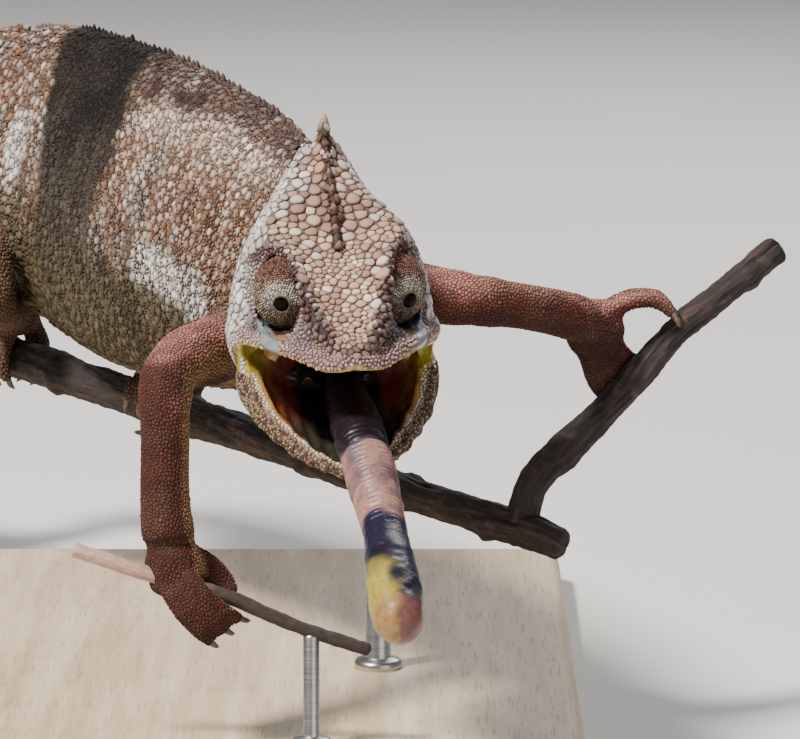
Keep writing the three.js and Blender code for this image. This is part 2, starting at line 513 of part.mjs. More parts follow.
// Each leg's midline from inside the body to inside the palm, with its half thickness.
const LEGS = {
  foreleg_right: { upright: [1, 0, 0], line: [[[18, -29, 84], 4], [[15, -34, 82], 7.4], [[10, -44, 79], 7],
    [[4.6, -55, 77.6], 6.5], [[-1.8, -65.6, 76.8], 5.7], [[-2.9, -70.6, 70.8], 5], [[-2.8, -71.8, 62.5], 4.8],
    [[-2.9, -73.6, 53.5], 4.9], [[-2.1, -75.2, 46.4], 5.2]] },
  foreleg_left: { upright: [0, 0, 1], line: [[[20, -28, 87], 4], [[26, -33, 87], 7.2],
    [[35, -41.5, 88], 6.6], [[44, -51, 88.4], 6], [[51, -57, 88.4], 5.3], [[58.6, -54.4, 87], 4.7],
    [[66.4, -48.2, 84.8], 4.6], [[72.6, -42, 82.4], 4.8], [[76.6, -38.2, 80.4], 4.8]] },
  hindleg_right: { upright: [1, 0, 0], line: [[[-38, 79, 101], 3.5], [[-42.5, 72, 98], 8.4],
    [[-46.4, 60, 91], 7.6], [[-46, 47, 83], 6], [[-43.4, 38, 77], 5.2], [[-43, 41, 71.4], 4.6],
    [[-42.6, 51, 68.4], 4.2], [[-41.4, 60, 66.4], 4.4], [[-40.6, 64.4, 65], 4.6]] },
  hindleg_left: { upright: [0, 0, 1], line: [[[-40, 81, 100], 3.5], [[-32, 76, 97], 8.4],
    [[-20, 70, 89.6], 7.4], [[-8, 66, 80.4], 5.8], [[2.4, 63, 74], 5.2], [[5, 57, 69.4], 4.6],
    [[3, 47, 64.4], 4.2], [[-0.4, 38.6, 60], 4.4], [[-2.6, 35.6, 57.8], 4.6]] },
};
const LEG_PARTS = { foreleg: ["upper", "lower", "hand"], hindleg: ["thigh", "shank", "foot"] };
const LEG_PARTING = 4.35; // the station just below the elbow or knee, where a leg is parted
for (const [leg, { palm, bundles, cutter }] of Object.entries(FEET)) {
  const [upperName, lowerName, footName] = LEG_PARTS[leg.split("_")[0]].map((piece) => leg + "_" + piece);
  const toeShapes = [];
  for (const [side, bundle] of Object.entries(bundles))
    toes(bundle).forEach((toe, i) => {
      toeShapes.push(toe.shape);
      add(leg + "_claw_" + side + "_" + (i + 1), claw(toe), COLOURS.claw, 0.4);
    });
  const foot = cut(join(ball(...palm, 8, 5), ...toeShapes), cutter);
  add(footName, foot, COLOURS.limb);
  const stations = LEGS[leg].line.map(([at, across]) => ({ at, across }));
  const [upper, lower] = lengths(stations, [0, LEG_PARTING, stations.length - 1], [6, 5],
    { sides: 9, upright: LEGS[leg].upright });
  add(upperName, cut(upper, bodyCutter), COLOURS.limb);
  add(lowerName, cut(lower, grown(foot, 1.7 * GAP), grown(upper), bodyCutter), COLOURS.limb);
}

// The origin is the middle of the base's underside as seen from above the whole object.
const extent = new THREE.Box3().setFromObject(part);
const middle = extent.getCenter(new THREE.Vector3());
for (const mesh of part.children) mesh.geometry.translate(-middle.x, -middle.y, -extent.min.z);

export default part;
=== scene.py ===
"""The looks of a life-size chameleon on a forked branch, reaching forward with its tongue out.

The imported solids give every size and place. One skin stands for all the flesh, with a coat of solid
scales over it; the eyes, the claws, the tongue, the branches and the stand are pieces of their own.
Shapes are worked out in millimetres and put into Blender in metres. The animal looks towards -Y.
"""

import math

import bpy
import numpy as np
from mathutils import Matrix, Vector, kdtree
from mathutils.bvhtree import BVHTree


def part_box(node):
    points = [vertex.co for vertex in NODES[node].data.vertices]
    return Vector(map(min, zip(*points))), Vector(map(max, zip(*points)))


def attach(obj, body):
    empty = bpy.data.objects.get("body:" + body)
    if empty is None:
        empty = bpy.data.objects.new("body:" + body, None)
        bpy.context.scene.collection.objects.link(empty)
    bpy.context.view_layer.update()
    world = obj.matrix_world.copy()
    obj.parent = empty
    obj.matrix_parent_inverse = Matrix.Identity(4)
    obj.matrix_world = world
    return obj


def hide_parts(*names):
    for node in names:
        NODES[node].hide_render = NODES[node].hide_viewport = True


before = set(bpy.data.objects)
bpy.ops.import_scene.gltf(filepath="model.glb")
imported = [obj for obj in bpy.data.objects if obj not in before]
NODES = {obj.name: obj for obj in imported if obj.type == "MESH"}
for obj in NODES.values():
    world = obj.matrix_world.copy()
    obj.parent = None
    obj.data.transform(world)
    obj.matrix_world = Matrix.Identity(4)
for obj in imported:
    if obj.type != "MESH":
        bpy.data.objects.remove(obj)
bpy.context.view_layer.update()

MM = 0.001
FULL_TURN = 2 * math.pi
LEGS = ("foreleg_right", "foreleg_left", "hindleg_right", "hindleg_left")
SIDES = {"left": 1, "right": -1}

# ---------------------------------------------------------------- sizes, in millimetres and degrees
FLESH = {"grown": 0.36, "voxel": 0.5, "smoothed": 8, "torso_smoothed": 50, "triangles": 180000}
HEAD = {"yaw": 6.2, "roll": -1.4, "eye_side": 8.9, "eye_height": 0.5}
# The opening between the lid cone and the head, seen along the head: an oval beside the eye's centre.
ORBIT = {"aside": 3.0, "half_width": 4.3, "half_height": 6.8, "opened": 1.03}
# The hollow that a turret sits in: how far its wall, any wet lining, the painted shade on its wall
# and the skin left bare of scales are from the eye's centre.
SOCKET = {"wall": 9.5, "lining": 9.4, "painted": 10.2, "bare": 10.5}
JAW = {"hinge": (0, 13, -14), "gape": 21}
# How far each eye looks outwards and down.
GAZE = {"left": (29, 14), "right": (19, 11)}
# The turret's cone: its lids leave a round opening, and the ball's centre is ahead of the turret's.
TURRET = {"radius": 6.9, "lids": 1.4, "ring": 0.5, "ball_ahead": 3.4, "inner_side": 2.75}
# The cone at the casque's tip: how far it rises over the crown, how wide it is, and its slopes.
CASQUE_TIP = {"rise": 4.6, "half_width": 2.4, "top": 31.3, "side_slope": 1.75, "back_slope": 0.174}
# How far a claw's base is stretched into its toe.
CLAW_ROOT = 1.6


# ---------------------------------------------------------------- small maths
def smooth(low, high, x):
    """0 below low, 1 above high and a smooth S between them; low may be above high."""
    t = np.clip((x - low) / (high - low), 0, 1)
    return t * t * (3 - 2 * t)


def bell(x, width):
    """A bell curve of x: 1 at 0, falling to 1/e at the width."""
    return np.exp(-((x / width) ** 2))


def unit(v):
    """Vectors of length 1 along the last axis."""
    return v / np.maximum(np.linalg.norm(v, axis=-1, keepdims=True), 1e-9)


def scramble(cells, seed):
    """A repeatable number from 0 to 1 for each whole-number cell, from wrapped products of its indices."""
    x, y, z = (cells[..., i].astype(np.uint32) for i in range(3))
    h = x * np.uint32(374761393) ^ y * np.uint32(668265263) ^ z * np.uint32(2246822519)
    h ^= np.uint32((seed * 3266489917) % 2 ** 32)
    h = (h ^ (h >> np.uint32(15))) * np.uint32(2246822519)
    h = (h ^ (h >> np.uint32(13))) * np.uint32(3266489917)
    return (h ^ (h >> np.uint32(16))) / 2.0 ** 32


def noise(points, size, seed=0):
    """Smooth random values from -1 to 1 that change over a size: the cell corners' numbers, blended."""
    at = points / size
    low = np.floor(at).astype(np.int64)
    t = at - low
    t = t * t * (3 - 2 * t)
    total = 0
    for corner in np.ndindex(2, 2, 2):
        c = np.array(corner)
        total = total + np.prod(np.where(c, t, 1 - t), axis=-1) * scramble(low + c, seed)
    return 2 * total - 1


def rough(points, size, seed=0, layers=3):
    """Layers of noise, each half the size and half the strength of the one before."""
    return sum(noise(points, size / 2 ** k, seed + k) / 2 ** k for k in range(layers))


def evenly_round(count):
    """Angles of a full turn in equal steps."""
    return np.arange(count) / count * FULL_TURN


def turned(axis, degrees):
    """The 3 x 3 matrix of a turn about X, Y or Z."""
    c, s = math.cos(math.radians(degrees)), math.sin(math.radians(degrees))
    i, j = {"X": (1, 2), "Y": (2, 0), "Z": (0, 1)}[axis]
    m = np.eye(3)
    m[i, i] = m[j, j] = c
    m[i, j], m[j, i] = -s, s
    return m


# ---------------------------------------------------------------- frames of the head and the jaw
def box_of(*names):
    """The lowest and highest corners round some nodes, in millimetres."""
    corners = np.array([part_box(n) for n in names]) / MM
    return corners[:, 0].min(0), corners[:, 1].max(0)


HEAD_TURN = turned("Z", HEAD["yaw"]) @ turned("Y", HEAD["roll"])


def gaze(side):
    """The direction one eye looks in, in the head's frame."""
    out, down = (math.radians(a) for a in GAZE[side])
    return np.array([SIDES[side] * math.sin(out) * math.cos(down),
                     -math.cos(out) * math.cos(down), -math.sin(down)])


def eye_in_head(side):
    """The centre of one eye's turret in the head's frame."""
    return np.array([SIDES[side] * HEAD["eye_side"], 0, HEAD["eye_height"]])


def head_origin():
    """The point between the eyes: the turrets' boxes give their centres, and the head's turn the rest."""
    middles = []
    for side in SIDES:
        low, high = box_of("eyeball_" + side)
        ball = (low + high) / 2
        middles.append(ball - HEAD_TURN @ (eye_in_head(side) + gaze(side) * TURRET["ball_ahead"]))
    return np.mean(middles, axis=0)


HEAD_AT = head_origin()


def to_head(points):
    """Points of the frame in the head's own frame: x to its left, y to the nape, z up."""
    return (points - HEAD_AT) @ HEAD_TURN


def from_head(points):
    """Points of the head's frame back in the frame of the whole."""
    return np.asarray(points) @ HEAD_TURN.T + HEAD_AT


def eye_centre(side):
    """The centre of one eye's turret in the frame of the whole."""
    return from_head(eye_in_head(side))


JAW_TURN = turned("X", JAW["gape"])


def head_to_jaw(points):
    """Points of the head's frame in the jaw's: from the hinge, turned with the open mouth."""
    return (points - np.array(JAW["hinge"])) @ JAW_TURN


def jaw_to_head(points):
    """Points of the jaw's frame back in the head's."""
    return np.asarray(points) @ JAW_TURN.T + np.array(JAW["hinge"])


# ---------------------------------------------------------------- meshes from arrays
def solid_of(name):
    """A node's points in millimetres and its triangles, with the points that coincide merged."""
    mesh = NODES[name].data
    points = np.empty(len(mesh.vertices) * 3, np.float32)
    mesh.vertices.foreach_get("co", points)
    mesh.calc_loop_triangles()
    corners = np.empty(len(mesh.loop_triangles) * 3, np.int32)
    mesh.loop_triangles.foreach_get("vertices", corners)
    keys = np.round(points.reshape(-1, 3) * 1e6).astype(np.int64)
    _, first, back = np.unique(keys, axis=0, return_index=True, return_inverse=True)
    faces = back.reshape(-1)[corners].reshape(-1, 3)
    whole = (faces[:, 0] != faces[:, 1]) & (faces[:, 1] != faces[:, 2]) & (faces[:, 2] != faces[:, 0])
    return points.reshape(-1, 3)[first].astype(float) / MM, faces[whole]


def joined(pieces):
    """Several (points, faces) pairs as one."""
    starts = np.cumsum([0] + [len(points) for points, _ in pieces[:-1]])
    faces = [faces + start for (_, faces), start in zip(pieces, starts)]
    return np.concatenate([points for points, _ in pieces]), np.concatenate(faces)


def face_normals(points, faces):
    """Each triangle's normal, twice its area long."""
    a, b, c = (points[faces[:, i]] for i in range(3))
    return np.cross(b - a, c - a)


def normals_of(points, faces):
    """Unit normals at the points: the sum of the touching faces' normals, larger faces counting more."""
    n = face_normals(points, faces)
    sums = [sum(np.bincount(faces[:, i], n[:, k], len(points)) for i in range(3)) for k in range(3)]
    return unit(np.stack(sums, -1))


def tree_of(points, faces):
    """A search tree over a surface's triangles."""
    return BVHTree.FromPolygons(points.tolist(), faces.tolist())


def put_in(name, points, faces, uv=None, **attributes):
    """A mesh object in metres from points in millimetres, with faces of three or four corners.
    Attributes with one column become numbers at the points, and those with three become colours."""
    mesh = bpy.data.meshes.new(name)
    count, sides = faces.shape
    mesh.vertices.add(len(points))
    mesh.vertices.foreach_set("co", (points * MM).astype(np.float32).ravel())
    mesh.loops.add(count * sides)
    mesh.loops.foreach_set("vertex_index", faces.astype(np.int32).ravel())
    mesh.polygons.add(count)
    mesh.polygons.foreach_set("loop_start", np.arange(0, count * sides, sides, dtype=np.int32))
    mesh.polygons.foreach_set("use_smooth", np.full(count, True))
    mesh.update(calc_edges=True)
    for label, values in attributes.items():
        if values.ndim == 1:
            mesh.attributes.new(label, "FLOAT", "POINT").data.foreach_set("value", values.astype(np.float32))
        else:
            rgba = np.ones((len(points), 4), np.float32)
            rgba[:, :3] = values
            mesh.attributes.new(label, "FLOAT_COLOR", "POINT").data.foreach_set("color", rgba.ravel())
    if uv is not None:
        mesh.uv_layers.new(name="OFBake").data.foreach_set("uv", uv[faces].astype(np.float32).ravel())
    mesh.validate()
    made = bpy.data.objects.new(name, mesh)
    bpy.context.scene.collection.objects.link(made)
    return made


def arrays_of(made):
    """An object's evaluated points in millimetres and its triangles."""
    evaluated = made.evaluated_get(bpy.context.evaluated_depsgraph_get())
    mesh = evaluated.to_mesh()
    points = np.empty(len(mesh.vertices) * 3, np.float32)
    mesh.vertices.foreach_get("co", points)
    mesh.calc_loop_triangles()
    faces = np.empty(len(mesh.loop_triangles) * 3, np.int32)
    mesh.loop_triangles.foreach_get("vertices", faces)
    evaluated.to_mesh_clear()
    return points.reshape(-1, 3).astype(float) / MM, faces.reshape(-1, 3)


def with_modifier(points, faces, kind, weights=None, **settings):
    """The arrays after one Blender modifier, by way of an object that is then removed."""
    made = put_in("working", points, faces)
    if weights is not None:
        group = made.vertex_groups.new(name="weights")
        for step in np.unique(np.round(weights, 1)):
            group.add(np.nonzero(np.round(weights, 1) == step)[0].tolist(), float(step), "REPLACE")
        settings["vertex_group"] = "weights"
    modifier = made.modifiers.new(kind, kind)
    for name, value in settings.items():
        setattr(modifier, name, value)
    result = arrays_of(made)
    mesh = made.data
    bpy.data.objects.remove(made)
    bpy.data.meshes.remove(mesh)
    return result


def rounded(points, faces, cuts=4, pull=0.55, most=0.8):
    """A finer, rounder surface through the same points. Each triangle is cut into cuts x cuts. A point
    with shares (u, v, w) of the corners is moved part of the way, pull, towards the mean of its feet on
    the corners' tangent planes, and no further than most."""
    normals = normals_of(points, faces)
    grid = np.array([(i, j) for i in range(cuts + 1) for j in range(cuts + 1 - i)])
    shares = np.column_stack([grid, cuts - grid.sum(1)]) / cuts
    corners, tops = points[faces], normals[faces]
    flat = np.einsum("sk,fkd->fsd", shares, corners)
    height = np.einsum("fskd,fkd->fsk", flat[:, :, None] - corners[:, None], tops)
    move = -pull * np.einsum("fsk,sk,fkd->fsd", height, shares, tops)
    length = np.linalg.norm(move, axis=-1, keepdims=True)
    made = flat + move * np.minimum(1, most / np.maximum(length, 1e-9))
    place = {tuple(g): n for n, g in enumerate(grid.tolist())}
    small = []
    for i in range(cuts):
        for j in range(cuts - i):
            small.append([place[i, j], place[i + 1, j], place[i, j + 1]])
            if i + j < cuts - 1:
                small.append([place[i + 1, j], place[i + 1, j + 1], place[i, j + 1]])
    fine = np.array(small)[None] + np.arange(len(faces))[:, None, None] * len(grid)
    return made.reshape(-1, 3), fine.reshape(-1, 3)


def edges_of(faces):
    """Both ends of every edge of a triangle mesh, each edge once."""
    pairs = np.sort(np.concatenate([faces[:, [0, 1]], faces[:, [1, 2]], faces[:, [2, 0]]]), axis=1)
    keys = np.unique(pairs[:, 0].astype(np.int64) * (pairs.max() + 1) + pairs[:, 1])
    return np.stack([keys // (pairs.max() + 1), keys % (pairs.max() + 1)], 1)


def relaxed(values, edges, rounds, share=0.5):
    """Values at the points drawn towards the mean of their neighbours; share may differ at each point."""
    a, b = np.concatenate([edges, edges[:, ::-1]]).T
    count = np.maximum(np.bincount(a, minlength=len(values)), 1)[:, None]
    flat = values.reshape(len(values), -1)
    share = np.broadcast_to(np.reshape(share, (-1, 1)), (len(values), 1))
    for _ in range(rounds):
        mean = np.stack([np.bincount(a, flat[b, k], len(flat)) for k in range(flat.shape[1])], -1) / count
        flat = flat + share * (mean - flat)
    return flat.reshape(values.shape)


def largest_body(points, faces):
    """The connected surface with the most points. Each point takes the least label it touches, and
    then its label's label, until nothing changes."""
    a, b = edges_of(faces).T
    label = np.arange(len(points))
    while True:
        before = label.copy()
        least = np.minimum(label[a], label[b])
        np.minimum.at(label, a, least)
        np.minimum.at(label, b, least)
        label = label[label]
        if np.array_equal(label, before):
            break
    kept = label == np.bincount(label).argmax()
    number = np.cumsum(kept) - 1
    return points[kept], number[faces[kept[faces[:, 0]]]]


def grid_faces(rows, columns, closed=True):
    """Quads of a grid of points, row after row; closed joins the last column to the first."""
    r, c = np.meshgrid(np.arange(rows - 1), np.arange(columns if closed else columns - 1), indexing="ij")
    next_c = (c + 1) % columns
    return np.stack([r * columns + c, r * columns + next_c, (r + 1) * columns + next_c,
                     (r + 1) * columns + c], -1).reshape(-1, 4)


def fan(middle, ring):
    """Triangles from one point to each step of a closed ring."""
    return np.stack([np.full(len(ring), middle), np.roll(ring, -1), ring], 1)


def tube_faces(rows, columns, halves=((0, 1, 2), (0, 2, 3))):
    """Triangles of a grid closed round its columns, with a fan at each end to a pole; the two poles come
    after the grid's points. Each quad is cut into the halves, which name three of its corners."""
    quads = grid_faces(rows, columns)
    ring, count = np.arange(columns), rows * columns
    return np.concatenate([quads[:, halves[0]], quads[:, halves[1]], fan(count, ring),
                           fan(count + 1, count - columns + ring)[:, ::-1]])


# ---------------------------------------------------------------- lines the pieces follow
# Places along these lines are measured from the middle of the stand's base.


def base_middle():
    """The middle of the stand's base, on the ground."""
    low, high = box_of("stand_base")
    return np.array([*((low + high) / 2)[:2], 0])


BASE_MIDDLE = base_middle()
FORK = (63.2, -38, 41)
BRANCH_LINE = [(72, -42, 38), FORK, (41.2, -20, 44.4), (14, 8, 48.8), (-12.5, 35, 52), (-31, 55, 54.8),
               (-46, 69, 56.4), (-74, 96, 58), (-112, 131, 60)]
ARM_LINE = [FORK, (66, -37.4, 49.6), (72.6, -36.6, 56.6), (83.2, -35, 67), (92.2, -33, 77.4),
            (101.4, -31, 84.6), (113, -28, 94)]
TWIG_LINE = [(-20, -76.4, 45), (-6, -77, 40.4), (7.7, -78, 36.6), (22, -78, 30.5), (35, -78, 26.2)]
TONGUE_LINE = [(29.6, -74.6, 75.8), (30.6, -83, 74.4), (32.1, -95, 72.2), (33.8, -109, 70.2),
               (35.7, -120, 65.6), (37.4, -131, 60.8), (38.6, -141, 56.6), (39.3, -148, 53.2),
               (39.9, -154, 50), (40.3, -159, 47.2)]
TONGUE_LENGTH = 90.6
TONGUE_RADII = [3, 3.9, 4.5, 4.6, 4.5, 4, 4.5, 4.9, 4.9, 3.6]
# The middle of the back, from nape to hips, with the spines' feet on it.
BACK_LINE = [(28, -71, 108), (23.5, -55, 115.6), (16, -35, 121.4), (3.6, -10, 125.8), (-8.8, 15, 127.8),
             (-20.7, 40, 128.6), (-31.5, 60, 128), (-41.5, 78, 126), (-50.5, 93, 121.4), (-58.5, 105.5, 112)]


def along(points, t):
    """Catmull-Rom curve through the points: t counts them, and may fall between two."""
    p = np.asarray(points, float)
    p = p.reshape(len(p), -1)
    padded = np.concatenate([2 * p[:1] - p[1:2], p, 2 * p[-1:] - p[-2:-1]])
    i = np.clip(np.floor(t).astype(int), 0, len(p) - 2)
    f = (np.asarray(t) - i)[:, None]
    a, b, c, d = (padded[i + k] for k in range(4))
    linear, square, cube = c - a, 2 * a - 5 * b + 4 * c - d, 3 * b - a - 3 * c + d
    return 0.5 * (2 * b + linear * f + square * f ** 2 + cube * f ** 3)


def spokes_of(across, over, turn):
    """Unit spokes at the turns, in the plane of each pair of directions."""
    return across[:, None] * np.cos(turn)[None, :, None] + over[:, None] * np.sin(turn)[None, :, None]


def swept(line, radii, rows, columns, relief, ends, up=(0, 0, 1)):
    """A closed tube: a ring of the local radius at each of the rows along a curve through the line's
    points. relief(along, turn, places) adds to the radius in millimetres. Each end is rounded off over
    its length in ends and closed by a pole."""
    t = np.linspace(0, len(line) - 1, rows)
    centres = along(line, t) + BASE_MIDDLE
    ahead = unit(np.gradient(centres, axis=0))
    side = unit(np.cross(ahead, up))
    run = np.concatenate([[0], np.cumsum(np.linalg.norm(np.diff(centres, axis=0), axis=1))])
    radius = along(np.reshape(radii, (-1, 1)), t)[:, 0]
    for length, distance in ((ends[0], run), (ends[1], run[-1] - run)):
        radius = radius * np.sqrt(1 - np.clip(1 - distance / length, 0, 0.995) ** 2)
    turn = evenly_round(columns)
    spoke = spokes_of(side, np.cross(side, ahead), turn)
    places = centres[:, None] + spoke * radius[:, None, None]
    bump = relief(np.repeat(run[:, None], columns, 1), np.repeat(turn[None], rows, 0), places)
    places = places + spoke * bump[..., None]
    points = np.concatenate([places.reshape(-1, 3), centres[:1], centres[-1:]])
    faces = outward(points, tube_faces(rows, columns, halves=((1, 2, 3), (0, 1, 3))))
    share = np.concatenate([np.repeat(run / run[-1], columns), [0, 1]])
    return points, faces, share, np.concatenate([np.tile(turn, rows), [0, 0]])


def outward(points, faces):
    """The triangles, turned over if the closed surface they make faces inwards."""
    middle = points[faces] - points.mean(0)
    volume = np.einsum("fd,fd->f", middle[:, 0], np.cross(middle[:, 1], middle[:, 2])).sum()
    return faces if volume > 0 else faces[:, ::-1]


# ---------------------------------------------------------------- where things are on the animal
# In the head's frame, by y from snout to nape: the lip's edge, the ridge over snout, eye and casque, and
# the crown's midline. In the jaw's frame, by y from its tip: the rim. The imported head's lip is straighter
# than the skin's, which is raised towards the corners of the mouth.
LIP = {"y": (-25.6, -23, -20.5, -18, -14, -10, -4, 4, 10, 15, 20),
       "x": (2.4, 6.4, 8.3, 10.3, 12.1, 13.9, 16.6, 18.7, 19.3, 17.8, 14.4),
       "z": (-10, -10.3, -9.3, -8.9, -8.5, -8.4, -8.6, -8.9, -9.6, -11.6, -12.4),
       "packed": (-10, -10.5, -10.8, -11.1, -11.4, -11.6, -12, -12.3, -12.7, -13.2, -12.4)}
RIDGE = {"y": (-25.6, -23, -18, -11, -4, 2, 6, 10, 15, 20, 25, 28.4),
         "x": (1.8, 4.1, 6, 7.9, 9.6, 11, 12.3, 10.2, 7.2, 4.9, 2.8, 1.1),
         "z": (-7.2, -5, -1.8, 2.4, 7.2, 10.4, 11.6, 14, 17.5, 20.8, 25.8, 29.4)}
CROWN = {"y": (-25.6, -18, -11, -4, 2, 10, 20, 25, 28.4),
         "z": (-6.9, -2.4, 1.4, 5.6, 9.8, 17, 25, 29.6, 32.8)}
RIM = {"y": (-41, -37.5, -32, -25, -17, -8, 0), "x": (1.2, 4.4, 8.9, 12.3, 15.7, 17.8, 18.2)}


def read(line, axis, y):
    """A line's x or z at y."""
    return np.interp(y, line["y"], line[axis])


def inside_mouth(points, normals, kind):
    """From 0 to 1: how far a place of the skin is inside the mouth, on the palate's side of the lip, on
    the roof behind the snout, on the trough's side of the lower rim, or on the lining. The sockets'
    floors stay outside it."""
    h, n = to_head(points), normals @ HEAD_TURN
    across = np.abs(h[:, 0])
    over, within = h[:, 2] - read(LIP, "z", h[:, 1]), read(LIP, "x", h[:, 1]) - across
    palate = smooth(0.5, -0.3, over) * smooth(0.1, 0.9, within) * smooth(0.55, 0.2, n[:, 2])
    palate = np.maximum(palate, smooth(5, 3.8, over) * smooth(0.6, 1.3, within) * smooth(0, -0.35, n[:, 2]))
    roof = smooth(2.6, 2.0, over) * smooth(1.5, 2.1, within) * (h[:, 1] > -20.5) * (h[:, 1] < 14)
    palate = np.maximum(palate, roof)
    q, m = head_to_jaw(h), n @ JAW_TURN
    inward = m[:, 2] - 0.8 * np.sign(q[:, 0]) * m[:, 0]
    trough = (smooth(0.1, 0.4, inward) * smooth(2.0, 2.5, read(RIM, "x", q[:, 1]) - np.abs(q[:, 0]))
              * smooth(-6.6, -6, q[:, 2]))
    clear = np.minimum(*(np.linalg.norm(h - eye_in_head(eye), axis=1) > SOCKET["lining"] for eye in SIDES))
    values = {"lining": clear, "head": palate * clear, "jaw": trough, "torso": roof * (over > -24)}
    return sum(np.where(kind == REGION[name], value, 0) for name, value in values.items())


def on_body(points):
    """Where a place is on the body: how far along, from the stand's middle; how far below the back; and
    how far to the animal's left of the midline."""
    p = points - BASE_MIDDLE
    line = np.array(BACK_LINE)
    back = np.interp(p[:, 1], line[:, 1], line[:, 2])
    middle = np.interp(p[:, 1], line[:, 1], line[:, 0])
    return p[:, 1], back - p[:, 2], p[:, 0] - middle


# ---------------------------------------------------------------- skin
REGIONS = {
    "head": ["head"],
    "jaw": ["lower_jaw"],
    "lining": ["mouth_lining"],
    "torso": ["neck", "trunk"],
    "tail": ["tail_base", "tail_coil_1", "tail_coil_2", "tail_coil_3", "tail_tip"],
    "limb": [leg + part for leg in LEGS for part in
             (("_upper", "_lower") if leg.startswith("fore") else ("_thigh", "_shank"))],
    "foot": [leg + ("_hand" if leg.startswith("fore") else "_foot") for leg in LEGS],
}
REGION = {name: i for i, name in enumerate(REGIONS)}
# The distance between neighbouring scales; the head's are in ON_HEAD.
SPACING = {"head": 1, "jaw": 0.58, "lining": 1, "torso": 0.72, "tail": 0.88, "limb": 0.6, "foot": 0.6}
# Forelegs are before this place from the stand's middle, hind legs behind it.
BETWEEN_LEGS = 20
# How far the skin lies inside the flesh, under the coat.
DEPTH = {"head": 0.34, "jaw": 0.3, "lining": 0.1, "torso": 0.5, "tail": 0.36, "limb": 0.34, "foot": 0.28}
# How far each region's triangles may be rounded, and how freely they may be thinned.
ROUNDED = {"torso": 0.9, "tail": 0.8, "limb": 0.6}
THINNED = {"torso": 1.0, "tail": 0.7, "limb": 0.7, "foot": 0.4}
FLESH_NODES = [name for names in REGIONS.values() for name in names]


def by_region(table, kind, default=0.0):
    """A table's value for the region of each place."""
    return np.array([table.get(name, default) for name in REGIONS])[kind]


def nearest_region():
    """A lookup from places to the regions of the flesh nodes nearest to them."""
    solids = [solid_of(name) for name in FLESH_NODES]
    counts = [len(faces) for _, faces in solids]
    kind = np.repeat([REGION[region] for region, names in REGIONS.items() for _ in names], counts)
    tree = tree_of(*joined(solids))
    return lambda places: kind[[tree.find_nearest(p)[2] for p in places.tolist()]]


def trunk_distance():
    """A lookup from places to how far they are from the trunk's own surface."""
    tree = tree_of(*joined([solid_of(name) for name in REGIONS["torso"]]))
    return lambda places: np.array([tree.find_nearest(p)[3] for p in places.tolist()])


region_of = nearest_region()
off_trunk = trunk_distance()


def orbit_reach(h, side):
    """How far out a place is from the middle of an orbit's oval: 1 on the oval's edge. Also the
    place's offset from the middle, sideways and up."""
    aside = h[:, 0] * SIDES[side] - HEAD["eye_side"] - ORBIT["aside"]
    offset = np.stack([aside, h[:, 2] - HEAD["eye_height"]], 1)
    return np.linalg.norm(offset / (ORBIT["half_width"], ORBIT["half_height"]), axis=1), offset


def seen_from_eye(points, normals, side):
    """How far places are from an eye's centre, and whether they are turned to it (-1) or away (1)."""
    from_eye = to_head(points) - eye_in_head(side)
    away = np.linalg.norm(from_eye, axis=1)
    return away, np.einsum("nk,nk->n", normals @ HEAD_TURN, from_eye) / np.maximum(away, 1)


def thick_rim(h, kind):
    """The lower jaw's rim made broader: its inner wall is moved towards the tongue."""
    q = head_to_jaw(h)
    across = np.abs(q[:, 0])
    inner = smooth(0.0, 1.0, read(RIM, "x", q[:, 1]) - across) * smooth(-7, -3, q[:, 2]) * (q[:, 2] < 2)
    inner = inner * ((kind == REGION["jaw"]) | (kind == REGION["lining"])) * smooth(4, -4, q[:, 1])
    q[:, 0] -= np.sign(q[:, 0]) * 1.5 * inner * smooth(0.5, 4, across)
    return jaw_to_head(q)


